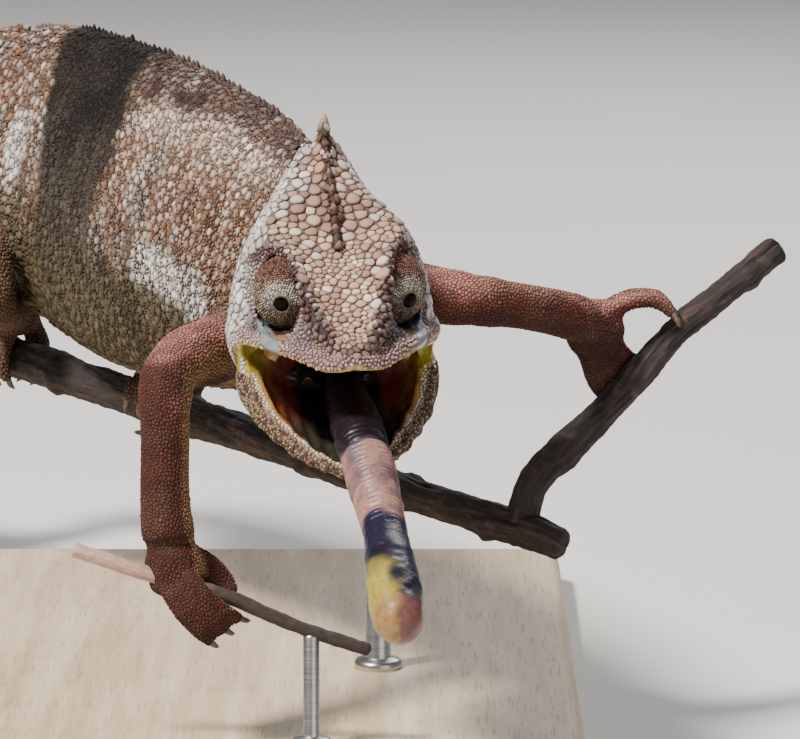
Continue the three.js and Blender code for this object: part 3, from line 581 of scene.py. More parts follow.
def carved(points, normals, kind):
    """The skin's own forms in the head's frame. The lip is raised to its line and the orbits are opened
    to their ovals. Lifts along the normal, each a bell or a wave about its line, raise the ridges over
    snout and eye, the lips, the crest of the casque and a rim round each orbit, and sink a furrow over
    the lips; folds run along the throat. The casque's tip is drawn up and held under a cone."""
    h = to_head(points)
    skull = kind == REGION["head"]
    over = h[:, 2] - read(LIP, "packed", h[:, 1])
    rise = read(LIP, "z", h[:, 1]) - read(LIP, "packed", h[:, 1])
    near = smooth(7.5, 1, over) * smooth(-9, -1.5, over) * (kind != REGION["torso"])
    h[:, 2] += rise * near * (1 - 0.16 * np.clip(h[:, 0] / 10, -1, 1))
    h = thick_rim(h, kind)
    for side, sign in SIDES.items():
        reach, offset = orbit_reach(h, side)
        inside = skull & (reach < ORBIT["opened"]) & (h[:, 1] < -0.5) & (h[:, 1] > -14) & (h[:, 0] * sign > 6)
        push = offset * (ORBIT["opened"] / np.maximum(reach, 0.5) - 1)[:, None]
        h[inside, 0] += sign * push[inside, 0]
        h[inside, 2] += push[inside, 1]
    y, across = h[:, 1], np.abs(h[:, 0])
    above_lip = h[:, 2] - read(LIP, "z", y)
    off_ridge = np.hypot(across - read(RIDGE, "x", y), h[:, 2] - read(RIDGE, "z", y))
    brow = 0.7 * bell(off_ridge, 1.3) * smooth(-25, -19, y) * smooth(9, 3, y)
    casque_ridge = 0.45 * bell(off_ridge, 0.9) * smooth(3, 9, y)
    bosses = 0.7 * noise(points, 2.4, 12) * bell(off_ridge, 2) * smooth(-5, -10, y) * smooth(-25, -21, y)
    hollow = 0.5 * bell(off_ridge - 3.2, 1.2) * (smooth(-23.5, -20, y) * smooth(2, -5, y) * (above_lip > 2))
    lips = (0.5 * bell(above_lip - 1.2, 1.1) - 0.55 * bell(above_lip - 3.2, 0.7)) * smooth(9, 0, y)
    nose = 0.5 * bell(np.hypot(across - 0.6, above_lip - 3.4), 1.6) * (y < -22)
    crest = 0.5 * bell(across, 0.7) * smooth(-1, 4, y) * (h[:, 2] > read(CROWN, "z", y) - 3)
    lift = brow + casque_ridge + bosses - hollow + lips + nose + crest
    for side in SIDES:
        reach, _ = orbit_reach(h, side)
        lift = lift + 0.3 * bell(reach - 1.25, 0.12) * (y < 4) * (np.sign(h[:, 0]) == SIDES[side])
    lift = np.where(skull, lift, 0)
    throat = (kind == REGION["jaw"]) | (kind == REGION["torso"]) & (points[:, 1] - BASE_MIDDLE[1] < -45)
    pleats = 0.22 * np.cos(h[:, 0] * FULL_TURN / 2.6) * smooth(-16, -24, h[:, 2])
    lift = lift + np.where(throat, pleats, 0)
    h = h + (normals @ HEAD_TURN) * lift[:, None]
    peak = CASQUE_TIP["rise"] * np.clip(1 - across / CASQUE_TIP["half_width"], 0, 1)
    h[:, 2] += np.where(skull, peak * smooth(18, 23.2, y) * smooth(16, 22, h[:, 2]), 0)
    cone = CASQUE_TIP["top"] - CASQUE_TIP["side_slope"] * across - CASQUE_TIP["back_slope"] * y
    h[:, 2] = np.where(skull & (y > 16) & (across < 3), np.minimum(h[:, 2], cone), h[:, 2])
    return from_head(h)


def ribbed(points, normals, kind):
    """Faint ribs down the flanks and loose folds behind the shoulder."""
    y, down, _ = on_body(points)
    ribs = 0.3 * np.cos((y + 0.25 * down) * FULL_TURN / 9) * smooth(10, 20, down) * smooth(62, 45, down)
    folds = 0.5 * bell(y + 22 + 0.3 * down, 3) * smooth(25, 40, down)
    return points + normals * np.where(kind == REGION["torso"], ribs + folds, 0)[:, None]


def make_skin():
    """One closed surface for all the flesh: the nodes swollen until they touch, made one, smoothed, and
    drawn in by that swelling and by the coat's depth, except on the wall of the eyes' sockets, which is
    thin there. The head keeps the most triangles."""
    swollen = []
    for region, names in REGIONS.items():
        for name in names:
            points, faces = solid_of(name)
            points = points + FLESH["grown"] * normals_of(points, faces)
            cuts = 5 if region == "torso" else 3
            swollen.append(rounded(points, faces, cuts=cuts, most=ROUNDED.get(region, 0.25)))
    points, faces = with_modifier(*joined(swollen), "REMESH", mode="VOXEL", voxel_size=FLESH["voxel"] * MM)
    points, faces = largest_body(points, faces)
    edges = edges_of(faces)
    kind = region_of(points)
    points = relaxed(points, edges, FLESH["smoothed"])
    torso = relaxed((kind == REGION["torso"]).astype(float), edges, 12)
    points = relaxed(points, edges, FLESH["torso_smoothed"], 0.5 * torso)
    depth = by_region(DEPTH, kind) + FLESH["grown"]
    normals = normals_of(points, faces)
    for side in SIDES:
        away, facing = seen_from_eye(points, normals, side)
        above = to_head(points)[:, 2] > HEAD["eye_height"]
        wall = smooth(SOCKET["wall"], SOCKET["wall"] - 1, away) * smooth(-0.2, -0.6, facing) * above
        depth = depth * (1 - wall)
    depth = relaxed(depth, edges, 6)
    points = points - normals * depth[:, None]
    points = carved(points, normals_of(points, faces), kind)
    points = ribbed(points, normals_of(points, faces), kind)
    points = relaxed(points, edges, 2)
    return with_modifier(points, faces, "DECIMATE", weights=relaxed(by_region(THINNED, kind), edges, 6),
                         ratio=FLESH["triangles"] / len(faces), vertex_group_factor=1.0)


# ---------------------------------------------------------------- markings
def tone(code):
    """A colour in linear light from its six hexadecimal digits."""
    c = np.array([int(code[i:i + 2], 16) for i in (0, 2, 4)]) / 255
    return np.where(c <= 0.04045, c / 12.92, ((c + 0.055) / 1.055) ** 2.4)


def mixed(base, over, share):
    """A colour array with another laid over it by a share at each place."""
    return base + (over - base) * np.clip(share, 0, 1)[:, None]


def layered(palette, count, **shares):
    """The palette's base colour at a count of places, with its other colours laid over it in the order
    of the shares, each by its share at each place."""
    colour = np.tile(tone(palette["base"]), (count, 1))
    for name, share in shares.items():
        colour = mixed(colour, tone(palette[name]), share)
    return colour


TRUNK_PAINT = {"base": "8a6c58", "grey": "6f6863", "brown": "67432e", "olive": "4f4530", "streak": "2e2a1e",
               "rust": "7a4f33", "stripe": "bda696", "saddle": "4f3d37", "saddle_dark": "2d1f1b",
               "band": "35312a", "band_black": "070606", "white": "d2ccc8"}
# The colours of the furrow over the lips and of the midline of the casque's crest are painted shade.
HEAD_PAINT = {"base": "b4937e", "brown": "94766a", "casque": "937468", "flank": "85777a", "ridge": "54454a",
              "temple": "c3bbbb", "casque_ridge": "d5cdc9", "lip": "bd9a94", "furrow": "5c4a4c",
              "lip_edge": "c6ab62", "keel": "46312a", "corner": "d8d2ca"}
# The socket colour is painted shade on the sockets' walls round the turrets.
EYE_PAINT = {"hood": "4b2c26", "under": "8f9aa0", "socket": "3a231e"}
JAW_PAINT = {"base": "8b7a5a", "tan": "967e68", "grey": "85836f", "rim": "e3ccb2"}
# The lit colour is a painted highlight where the limbs face up, and the under colour is painted shade where
# they face down.
LIMB_PAINT = {"base": "6e382b", "low": "48231a", "lit": "b27a6e", "under": "301510", "brown": "5c4232",
              "inner_bend": "a57d58", "fleck": "2a130e", "hind": "665140"}
# The throat colour, near black, is painted shade deep in the mouth.
LINING_PAINT = {"base": "b88a45", "brown": "7c4a22", "yellow": "b7a052", "floor_rim": "2e2c26",
                "floor": "3a382d", "maroon": "7a2b1b", "throat": "060303", "corner": "a3962f",
                "edge": "cdb866"}
LID_PAINT = {"base": "958270", "rust": "7c5346", "olive": "8f7d62", "pale": "c9bfb0", "rim": "a3937a"}
TONGUE_PAINT = {"base": "9b7468", "violet": "57424f", "rings": "584650", "streak": "332748",
                "root": "140d14", "club": "15122e", "club_dark": "08070f", "pad": "a3923a", "tip": "8a5a48"}
SCALE_PAINT = {"white": "cfc8c2", "brown": "4d3a2c", "head_pale": "dacfc8", "head_brown": "75564a",
               "jaw_fleck": "3c1d1a"}
CREST_PAINT = {"pale": "8e6f5c", "dark": "4f382d", "tip": "a58b7b"}


def torso_markings(points):
    """Pinkish tan above and olive brown below, a near-black band behind the shoulders, a brown saddle
    and a pale stripe before it, and two patches of white tubercles."""
    y, down, _ = on_body(points)
    wave = rough(points, 9, 11)
    streaks = rough(np.stack([y, 0.35 * down, 0 * y], 1), 4, 23)
    saddle = smooth(2.5, -2.5, down - np.interp(y, (-57, 0), (2.5, 8)) - 2.5 * wave) * smooth(14, 6, y)
    front = np.interp(down, (0, 10, 22, 40), (11, 2, -1, -3))
    rear = np.interp(down, (0, 8, 25, 40), (50, 42, 32, 28))
    ragged = 2.6 * wave + 2.2 * noise(points, 3, 32)
    band = smooth(-3, 3, y - front + ragged) * smooth(-3, 3, rear - y + ragged)
    patchy = 0.75 + 0.25 * smooth(0.5, -0.2, noise(points, 5, 33))
    white = bell(y + 30, 17) * bell(down - 35 - 0.1 * (y + 30), 6) + bell(y - 46, 7) * bell(down - 23, 9)
    return layered(
        TRUNK_PAINT, len(points),
        grey=smooth(-0.2, 0.5, rough(points, 6, 21)) * 0.8,
        brown=smooth(0.0, 0.6, rough(points, 4, 22)) * 0.7,
        olive=smooth(26, 42, down + 8 * wave),
        streak=smooth(22, 40, down) * smooth(0.0, 0.5, streaks) * 0.7,
        rust=smooth(44, 58, down) * smooth(-8, -30, y + 6 * wave) * 0.8,
        stripe=bell(down - np.interp(y, (-57, 0), (5, 11)) - 1.5 * wave, 3.2) * smooth(4, -2, y) * 0.8,
        saddle=saddle * 0.9,
        saddle_dark=saddle * smooth(0.0, 0.5, rough(points, 6, 31)) * 0.85,
        band=band * smooth(56, 26, down) * 0.95,
        band_black=band * smooth(32, 10, down + 6 * wave) * patchy,
        white=smooth(0.3, 0.9, white + 0.5 * wave) * 0.8 * (1 - band))


def under_eye(h, side):
    """The smooth patch between an orbit and the lip, from 0 to 1."""
    reach, offset = orbit_reach(h, side)
    beside = (h[:, 0] * SIDES[side] > 0) & (h[:, 1] < 4)
    below = smooth(1.5, 1.38, reach) * smooth(-4.8, -5.6, offset[:, 1])
    return below * smooth(1.6, 1.2, np.abs(offset[:, 0] - 1.9)) * beside


def head_markings(points, normals):
    """Pinkish tan plates on crown and snout, dark ridges over snout and eyes, whitish temples and casque
    ridges, pink lips with a yellowish edge, a blue-grey patch under each eye and a reddish fold over it,
    and painted shade in the furrow over the lips and along the midline of the casque's crest."""
    h = to_head(points)
    y, across = h[:, 1], np.abs(h[:, 0])
    above_lip = h[:, 2] - read(LIP, "z", y)
    below_ridge = read(RIDGE, "z", y) - h[:, 2]
    flank = smooth(-0.5, 1.2, across - read(RIDGE, "x", y)) * smooth(-1, 1, below_ridge)
    ridge = bell(across - read(RIDGE, "x", y), 1.8) * bell(below_ridge, 2.4)
    # Painted shade: a dark line along the midline of the casque's crest.
    keel = smooth(1.5, 0.9, across) * smooth(-1.5, 0, y) * smooth(27, 24, y)
    colour = layered(
        HEAD_PAINT, len(points),
        brown=smooth(-0.1, 0.7, noise(points, 4, 41)) * 0.7,
        casque=smooth(3, 9, y) * smooth(-0.4, 0.3, noise(points, 5, 42)) * 0.7,
        flank=flank,
        ridge=ridge * smooth(3, -4, y) * 0.9,
        temple=flank * smooth(1, 7, y) * 0.85,
        casque_ridge=ridge * smooth(6, 12, y) * 0.7,
        lip=smooth(3.2, 1.4, above_lip) * (y < 3) * 0.85,
        # Painted shade in the furrow over the lips.
        furrow=bell(above_lip - 3.6, 0.6) * smooth(4, -2, y) * 0.7,
        lip_edge=smooth(0.75, 0.3, above_lip) * (y < 6) * 0.9,
        keel=keel * (h[:, 2] > read(CROWN, "z", y) - 4) * 0.8,
        corner=smooth(4.5, 1.5, above_lip) * smooth(0, 6, y) * 0.85)
    for side, sign in SIDES.items():
        reach, offset = orbit_reach(h, side)
        _, facing = seen_from_eye(points, normals, side)
        inner = smooth(1, -2.5, offset[:, 0]) * smooth(-5, -1, offset[:, 1]) * smooth(1.35, 1.1, reach)
        hood = np.maximum(inner, smooth(3.5, 5.5, offset[:, 1]) * smooth(1.5, 1.15, reach))
        hood = hood * (h[:, 0] * sign > 0) * smooth(0.75, 0.3, facing) * 0.9
        colour = mixed(colour, tone(EYE_PAINT["hood"]), hood)
        colour = mixed(colour, tone(EYE_PAINT["under"]), under_eye(h, side) * 0.9)
    return colour


def jaw_markings(points):
    """Tan, greyer below the rim towards the hinge, and a whitish row of beads along the rim."""
    q = head_to_jaw(to_head(points))
    rim = smooth(1.2, 1.7, read(RIM, "x", q[:, 1]) - np.abs(q[:, 0])) * smooth(-2.6, -1.4, q[:, 2])
    return layered(JAW_PAINT, len(points),
                   tan=smooth(-2.4, -0.8, q[:, 2]) * 0.7,
                   grey=smooth(-10, -3, q[:, 1]) * smooth(-1, -3, q[:, 2]) * 0.6,
                   rim=rim * 0.9)


def limb_markings(points, normals):
    """Reddish brown, darker lower down, with a painted pinkish red highlight on the high parts that face up,
    painted shade on the parts that face down and tan on the inner bend; the hind legs are olive brown, and
    each limb takes the trunk's markings where it leaves it."""
    p = points - BASE_MIDDLE
    wave = rough(points, 7, 51)
    facing, height = normals[:, 2], p[:, 2]
    inner_bend = smooth(0.55, 0.9, normals[:, 0]) * (p[:, 0] < 10) * smooth(92, 84, height) * (p[:, 1] < 0)
    colour = layered(
        LIMB_PAINT, len(points),
        low=smooth(84, 68, height + 5 * wave) * 0.8,
        # Painted highlight on the high parts that face up, and painted shade on the parts that face down.
        lit=smooth(0.15, 0.75, facing + 0.3 * wave) * smooth(60, 80, height) * 0.9,
        under=smooth(0.0, -0.6, facing + 0.4 * wave) * 0.75,
        brown=smooth(0.1, 0.6, rough(points, 5, 61)) * 0.45,
        inner_bend=inner_bend * 0.8,
        fleck=smooth(0.1, 0.8, noise(points, 3, 62)) * 0.35,
        hind=(p[:, 1] > BETWEEN_LEGS) * 0.75)
    return mixed(colour, torso_markings(points), smooth(5.5, 0.5, off_trunk(points) + 2 * wave))


def lining_markings(points):
    """A thin yellow edge under the lip, olive yellow corners, ochre cheeks with brown clouds, a dark
    grey floor, maroon round the throat and, in it, near black as painted shade of its depth."""
    h = to_head(points)
    across, height = np.abs(h[:, 0]), h[:, 2]
    cloud = rough(points, 4, 65)
    ring = np.hypot(across / 8, (height + 18) / 8.4) + 0.1 * cloud
    below = height - read(LIP, "z", h[:, 1])
    return layered(
        LINING_PAINT, len(points),
        brown=smooth(-0.1, 0.6, cloud) * 0.6,
        yellow=smooth(0.0, 0.6, rough(points, 5, 66)) * 0.6,
        floor_rim=smooth(-17, -23, height) * smooth(13, 8, across) * 0.85,
        floor=smooth(-19, -24, height) * smooth(14, 10, across),
        maroon=smooth(1.7, 1.35, ring) * smooth(-25, -20, height),
        # Painted shade: near black deep in the throat.
        throat=smooth(1.2, 0.9, ring),
        corner=smooth(12.5, 15.5, across) * smooth(-9, -6, below) * 0.9,
        edge=smooth(-2.2, -1.2, below) * smooth(3.2, 1.6, read(LIP, "x", h[:, 1]) - across) * 0.9)


def markings(points, normals, kind):
    """The animal's colour at each place, for skin and scales alike, with painted highlight and shade laid
    into it; the sockets' walls are painted dark as shade round the turrets.
    """
    colour = torso_markings(points)
    skull, jaw = (kind == REGION["head"]) | (kind == REGION["lining"]), kind == REGION["jaw"]
    colour[skull] = head_markings(points[skull], normals[skull])
    colour[jaw] = jaw_markings(points[jaw])
    legs = (kind == REGION["limb"]) | (kind == REGION["foot"])
    colour[legs] = limb_markings(points[legs], normals[legs])
    mouth = inside_mouth(points, normals, kind)
    wet = mouth > 0.01
    colour[wet] = mixed(colour[wet], lining_markings(points[wet]), mouth[wet])
    for side in SIDES:
        # Painted shade on each socket's wall where it faces the eye, except on the patch under the eye.
        away, facing = seen_from_eye(points, normals, side)
        wall = smooth(0.1, -0.2, facing) * smooth(SOCKET["painted"], SOCKET["painted"] - 0.9, away)
        colour = mixed(colour, tone(EYE_PAINT["socket"]), wall * (1 - under_eye(to_head(points), side)))
    return colour


# ---------------------------------------------------------------- coat
# How much larger the scales of the hind part are, and where it begins.
HIND_SHARE = {"torso": 1.16, "limb": 1.16, "foot": 1.16}
HIND_FROM = 22
# Scales stand at least this share of their mean size apart.
CLOSENESS = 0.84
# A scale is cut by this many neighbours, and reaches this share of the way to the line between them.
CROWDING = 12
GROOVE = 0.96
# The width of a scale's patch on the unwrap.
PATCH = 0.003
# The head's spacings: the least, what crown, temples, mid-crown and casque add to it, and those of the
# beads by the orbits, on the lips, on the nose and at the casque's tip.
ON_HEAD = {"least": 0.86, "crown": 0.6, "temples": 0.4, "mid_crown": 0.5, "casque": 0.3,
           "orbit": 0.72, "lip": 0.66, "nose": 1.05, "tip": 0.75}
BOSS_SIZE = 1.2
# Scales of the crown that are larger than this are cut as plates.
PLATE_FROM = 0.95
# Rings of a scale as (share of its reach, share of its height), from the sunk edge to the top.
LOW_PROFILE = [(1.0, -0.5), (0.72, 0.72)]
DOME_PROFILE = [(1.0, -0.4), (0.86, 0.55), (0.5, 0.93)]
PLATE_PROFILE = [(1.0, -0.6), (0.94, 0.5), (0.74, 0.9)]
CONE_PROFILE = [(1.0, 0.0), (0.82, 0.35), (0.5, 0.72), (0.2, 0.95)]


def grain_of(sides, profile, rise, corners=7):
    """How one kind of scale is cut: its sides, its profile, its height by its size, and how sharp its
    corners are."""
    return {"sides": sides, "profile": profile, "rise": rise, "corners": corners}


LID_BEAD = grain_of(6, LOW_PROFILE, 0.3)
HEAD_PLATE = grain_of(10, PLATE_PROFILE, 0.22, 12)
HEAD_BOSS = grain_of(8, DOME_PROFILE, 0.6)
HEAD_BEAD = grain_of(7, LOW_PROFILE, 0.42)
JAW_SCALE = grain_of(6, LOW_PROFILE, 0.34)
TRUNK_SCALE = grain_of(6, LOW_PROFILE, 0.36)
HIND_SCALE = grain_of(6, LOW_PROFILE, 0.36, 6)
TUBERCLE = grain_of(8, DOME_PROFILE, 0.4)
TAIL_SCALE = grain_of(6, LOW_PROFILE, 0.32, 6)
ARM_SCALE = grain_of(6, LOW_PROFILE, 0.24)
FOOT_SCALE = grain_of(6, LOW_PROFILE, 0.24, 6)


def scale_size(points, kind):
    """The distance between neighbouring scales: plates on the crown, larger still between the eyes, and
    beads on lips, jaw and limbs. The hind part's scales are a little coarser."""
    h = to_head(points)
    y, across = h[:, 1], np.abs(h[:, 0])
    above_lip = h[:, 2] - read(LIP, "z", y)
    within_ridge = read(RIDGE, "x", y) - across
    crown = smooth(0.6, -0.8, -within_ridge) * smooth(2.5, 0.5, read(RIDGE, "z", y) - h[:, 2])
    head = ON_HEAD["least"] + ON_HEAD["crown"] * crown + ON_HEAD["temples"] * smooth(-3, 6, y) * (1 - crown)
    middle = ON_HEAD["mid_crown"] * crown * smooth(4.6, 3.2, across) * smooth(-14, -10, y) * smooth(1, -2, y)
    head = head + middle + ON_HEAD["casque"] * crown * bell(y - 9, 6) * bell(across - 3.5, 2.5)
    head = head * (1 - 0.35 * crown * smooth(1.8, 0.6, within_ridge) * smooth(4, -2, y))
    for side, sign in SIDES.items():
        reach, _ = orbit_reach(h, side)
        beside = (reach < 1.2) & (h[:, 0] * sign > 0) & (y < 8)
        head = np.where(beside, np.minimum(head, ON_HEAD["orbit"]), head)
    head = head * (1 - 0.3 * smooth(-18, -22, y))
    head = np.where((above_lip < 3) & (y < 3), ON_HEAD["lip"], head)
    head = np.where((y < -22.5) & (above_lip > 2.6), ON_HEAD["nose"], head)
    head = np.where(y > 22.5, ON_HEAD["tip"], head)
    head = np.where(above_lip < 1.6, ON_HEAD["lip"], head)
    behind = (points - BASE_MIDDLE)[:, 1] > HIND_FROM
    sizes = by_region(SPACING, kind) * np.where(behind, by_region(HIND_SHARE, kind, 1), 1)
    return np.where(kind == REGION["head"], head, sizes)


def candidates(points, faces, normals, spacing, crowd, seed):
    """Random places on the surface, about `crowd` of them for each square of the spacing there."""
    random = np.random.default_rng(seed)
    areas = np.linalg.norm(face_normals(points, faces), axis=1) / 2
    expected = crowd * areas / np.maximum(spacing[faces].mean(1), 0.3) ** 2
    face = np.repeat(np.arange(len(faces)), random.poisson(expected))
    u, v = np.sqrt(random.random(len(face))), random.random(len(face))
    shares = np.stack([1 - u, u * (1 - v), u * v], 1)
    place = np.einsum("nk,nkd->nd", shares, points[faces[face]])
    top = unit(np.einsum("nk,nkd->nd", shares, normals[faces[face]]))
    return place, top, np.einsum("nk,nk->n", shares, spacing[faces[face]]), random


def points_tree(listed):
    """A search tree over a list of places."""
    tree = kdtree.KDTree(len(listed))
    for i, place in enumerate(listed):
        tree.insert(place, i)
    tree.balance()
    return tree


def spread_out(places, sizes, order):
    """Which places to keep: in order, each kept one drops those nearer than the mean of both sizes."""
    listed, size, most = places.tolist(), sizes.tolist(), float(sizes.max())
    tree, free, kept = points_tree(listed), bytearray(b"\1" * len(listed)), []
    for i in order.tolist():
        if free[i]:
            kept.append(i)
            for _, j, distance in tree.find_range(listed[i], (size[i] + most) / 2 * CLOSENESS):
                if distance < (size[i] + size[j]) / 2 * CLOSENESS:
                    free[j] = 0
    return np.array(kept)


def neighbours_of(places, count):
    """The numbers of each place's nearest other places."""
    listed = places.tolist()
    tree = points_tree(listed)
    return np.array([[j for _, j, _ in tree.find_n(place, count + 1)] for place in listed])[:, 1:]


def raised(roots, tops, spokes, heights, profile):
    """Closed shapes standing on their roots: for each (wide, high) of the profile a ring of the spokes
    times wide, lifted by the height times high; then a summit. Returns points, triangles, the shape
    that each point is on and each point's flat offset in a circle."""
    sides = spokes.shape[1]
    rings = [roots[:, None] + spokes * wide + tops[:, None] * (heights * high)[:, None, None]
             for wide, high in profile]
    points = np.concatenate([*rings, (roots + tops * heights[:, None])[:, None]], axis=1)
    each = points.shape[1]
    quads = grid_faces(len(profile), sides)
    ring = np.arange(sides)
    summit = fan(each - 1, (len(profile) - 1) * sides + ring)[:, [2, 1, 0]]
    floor = np.stack([np.zeros(sides - 2, int), ring[2:], ring[1:-1]], 1)
    one = np.concatenate([quads[:, [0, 1, 2]], quads[:, [0, 2, 3]], summit, floor])
    faces = one[None] + (np.arange(len(roots)) * each)[:, None, None]
    turn = evenly_round(sides)
    circle = np.stack([np.cos(turn), np.sin(turn)], 1)
    flat = np.concatenate([circle * wide for wide, _ in profile] + [[[0, 0]]])
    number = np.repeat(np.arange(len(roots)), each)
    return points.reshape(-1, 3), faces.reshape(-1, 3), number, np.tile(flat, (len(roots), 1))


def levels_of(count, sides, shares):
    """The share of height kept at each point of a count of raised shapes, by ring, and 1 at the summit."""
    return np.tile(np.concatenate([np.repeat(shares, sides), [1]]), count)


def plates(roots, tops, sizes, heights, sides, profile, spin, corners):
    """Closed domed scales. A scale's reach at a turn is the soft minimum, over its neighbours j, of
    share_j / cos(turn - turn_j), where share_j is its part, by size, of the distance between the roots;
    the minimum is sharper, and the corners with it, the larger the number in corners."""
    near = neighbours_of(roots, CROWDING)
    across = unit(np.cross(tops, spin))
    along_skin = np.cross(tops, across)
    toward = roots[near] - roots[:, None]
    a = np.einsum("nkd,nd->nk", toward, across)
    b = np.einsum("nkd,nd->nk", toward, along_skin)
    distance = np.maximum(np.hypot(a, b), 0.2)
    share = distance * (sizes[:, None] / (sizes[:, None] + sizes[near])) * GROOVE
    turn = evenly_round(sides)
    facing = np.maximum(np.cos(turn[None, :, None] - np.arctan2(b, a)[:, None]), 0)
    pressed = (facing / share[:, None]) ** corners
    reach = (pressed.sum(-1) + (1 / (0.85 * sizes[:, None])) ** corners) ** (-1 / corners)
    spokes = spokes_of(across, along_skin, turn) * reach[..., None]
    return raised(roots, tops, spokes, heights, profile)


def unwrap_of(points, faces):
    """A lookup from places to their spot on an unwrap of the skin's own shape, made on a coarser copy.
    A place's foot on a triangle has shares of its corners by the areas opposite them."""
    at, faces = with_modifier(points, faces, "DECIMATE", ratio=9000 / len(faces))
    made = put_in("unwrapped", at, faces)
    bpy.context.view_layer.objects.active = made
    made.select_set(True)
    bpy.ops.object.mode_set(mode="EDIT")
    bpy.ops.mesh.select_all(action="SELECT")
    bpy.ops.uv.smart_project(angle_limit=math.radians(66), island_margin=0.002)
    bpy.ops.object.mode_set(mode="OBJECT")
    mesh = made.data
    uv = np.empty(len(mesh.loops) * 2, np.float32)
    mesh.uv_layers.active.data.foreach_get("uv", uv)
    corners = np.empty(len(mesh.loops), np.int32)
    mesh.loops.foreach_get("vertex_index", corners)
    faces, uv = corners.reshape(-1, 3), uv.reshape(-1, 3, 2).astype(float)
    tree = tree_of(at, faces)
    bpy.data.objects.remove(made)

    def find(places):
        hits = [tree.find_nearest(p) for p in places.tolist()]
        face = np.array([hit[2] for hit in hits])
        foot = np.array([hit[0] for hit in hits])
        a, b, c = (at[faces[face, i]] for i in range(3))
        whole = np.linalg.norm(np.cross(b - a, c - a), axis=1)
        v = np.linalg.norm(np.cross(foot - a, c - a), axis=1) / whole
        w = np.linalg.norm(np.cross(b - a, foot - a), axis=1) / whole
        return np.einsum("nk,nkd->nd", np.stack([1 - v - w, v, w], 1), uv[face])

    return find


# ---------------------------------------------------------------- materials
class Value:
    """A number or colour on its way through a material's nodes. Arithmetic on it adds Math nodes."""

    def __init__(self, tree, socket):
        self.tree, self.socket = tree, socket

    def node(self, kind, settings=None, inputs=None, output=0):
        """A new node: its settings, such as an operation or a ramp's stops, then its sockets."""
        made = self.tree.nodes.new(kind)
        for name, setting in (settings or {}).items():
            if name == "stops":
                ramp = made.color_ramp.elements
                while len(ramp) < len(setting):
                    ramp.new(1.0)
                for element, (place, shade) in zip(ramp, setting):
                    element.position, element.color = place, (*shade, 1)
            else:
                setattr(made, name, setting)
        for name, value in (inputs or {}).items():
            if isinstance(value, Value):
                self.tree.links.new(value.socket, made.inputs[name])
            else:
                made.inputs[name].default_value = value
        return Value(self.tree, made.outputs[output])

    def math(self, operation, first, second):
        """One Math node's result."""
        return self.node("ShaderNodeMath", {"operation": operation}, {0: first, 1: second})

    def __add__(self, other):
        return self.math("ADD", self, other)

    def __sub__(self, other):
        return self.math("SUBTRACT", self, other)

    def __rsub__(self, other):
        return self.math("SUBTRACT", other, self)

    def __mul__(self, other):
        return self.math("MULTIPLY", self, other)

    __radd__, __rmul__ = __add__, __mul__

    def ramp(self, *stops):
        """The colour at this number, between stops of (place, colour code)."""
        shades = [(place, tone(code)) for place, code in stops]
        return self.node("ShaderNodeValToRGB", {"stops": shades}, {"Fac": self})

    def between(self, low, high):
        """0 where this is under low, 1 where it is over high, a straight line between."""
        ranged = {"From Min": low, "From Max": high, "Value": self}
        return self.node("ShaderNodeMapRange", {"clamp": True}, ranged)

    def tinted(self, over, share):
        """This colour with another laid over it by a share."""
        inputs = {"Factor": share, 6: self, 7: over}
        return self.node("ShaderNodeMix", {"data_type": "RGBA"}, inputs, output=2)

    def scaled(self, *factors):
        """These coordinates stretched by a factor along each axis."""
        return self.node("ShaderNodeVectorMath", {"operation": "MULTIPLY"}, {0: self, 1: factors})

    def noise(self, size, detail=3.0, rough=0.55):
        """Cloudy values over a size in millimetres, from these coordinates."""
        inputs = {"Vector": self, "Scale": 1 / (size * MM), "Detail": detail, "Roughness": rough}
        return self.node("ShaderNodeTexNoise", {}, inputs)

    def cells(self, size):
        """Distances in a pattern of cells of a size in millimetres."""
        return self.node("ShaderNodeTexVoronoi", {}, {"Vector": self, "Scale": 1 / (size * MM)})


def rgba(code):
    """A socket's colour from its six hexadecimal digits."""
    return (*tone(code), 1.0)


def material(name, recipe, metallic=0.0, specular=0.5):
    """A material from a recipe. It is given the object's coordinates as a Value, and returns the
    colour, the roughness, the relief in millimetres and, where there is one, the clear coat."""
    made = bpy.data.materials.new(name)
    made.use_nodes = True
    tree = made.node_tree
    surface = tree.nodes["Principled BSDF"]
    place = Value(tree, tree.nodes.new("ShaderNodeTexCoord").outputs["Object"])
    colour, roughness, relief, *rest = recipe(place)
    bump = place.node("ShaderNodeBump", {}, {"Height": relief, "Distance": MM, "Strength": 1.0})
    links = {"Base Color": colour, "Roughness": roughness, "Normal": bump}
    if rest:
        links["Coat Weight"] = rest[0]
    for socket, value in links.items():
        if isinstance(value, Value):
            tree.links.new(value.socket, surface.inputs[socket])
        else:
            surface.inputs[socket].default_value = value
    surface.inputs["Metallic"].default_value = metallic
    surface.inputs["Specular IOR Level"].default_value = specular
    surface.inputs["Coat Roughness"].default_value = 0.1
    return made


def painted(place, name="markings"):
    """The colour kept at the mesh's points under a name."""
    return place.node("ShaderNodeAttribute", {"attribute_name": name})


def level_of(place, name):
    """The number kept at the mesh's points under a name."""
    return place.node("ShaderNodeAttribute", {"attribute_name": name}, output=2)


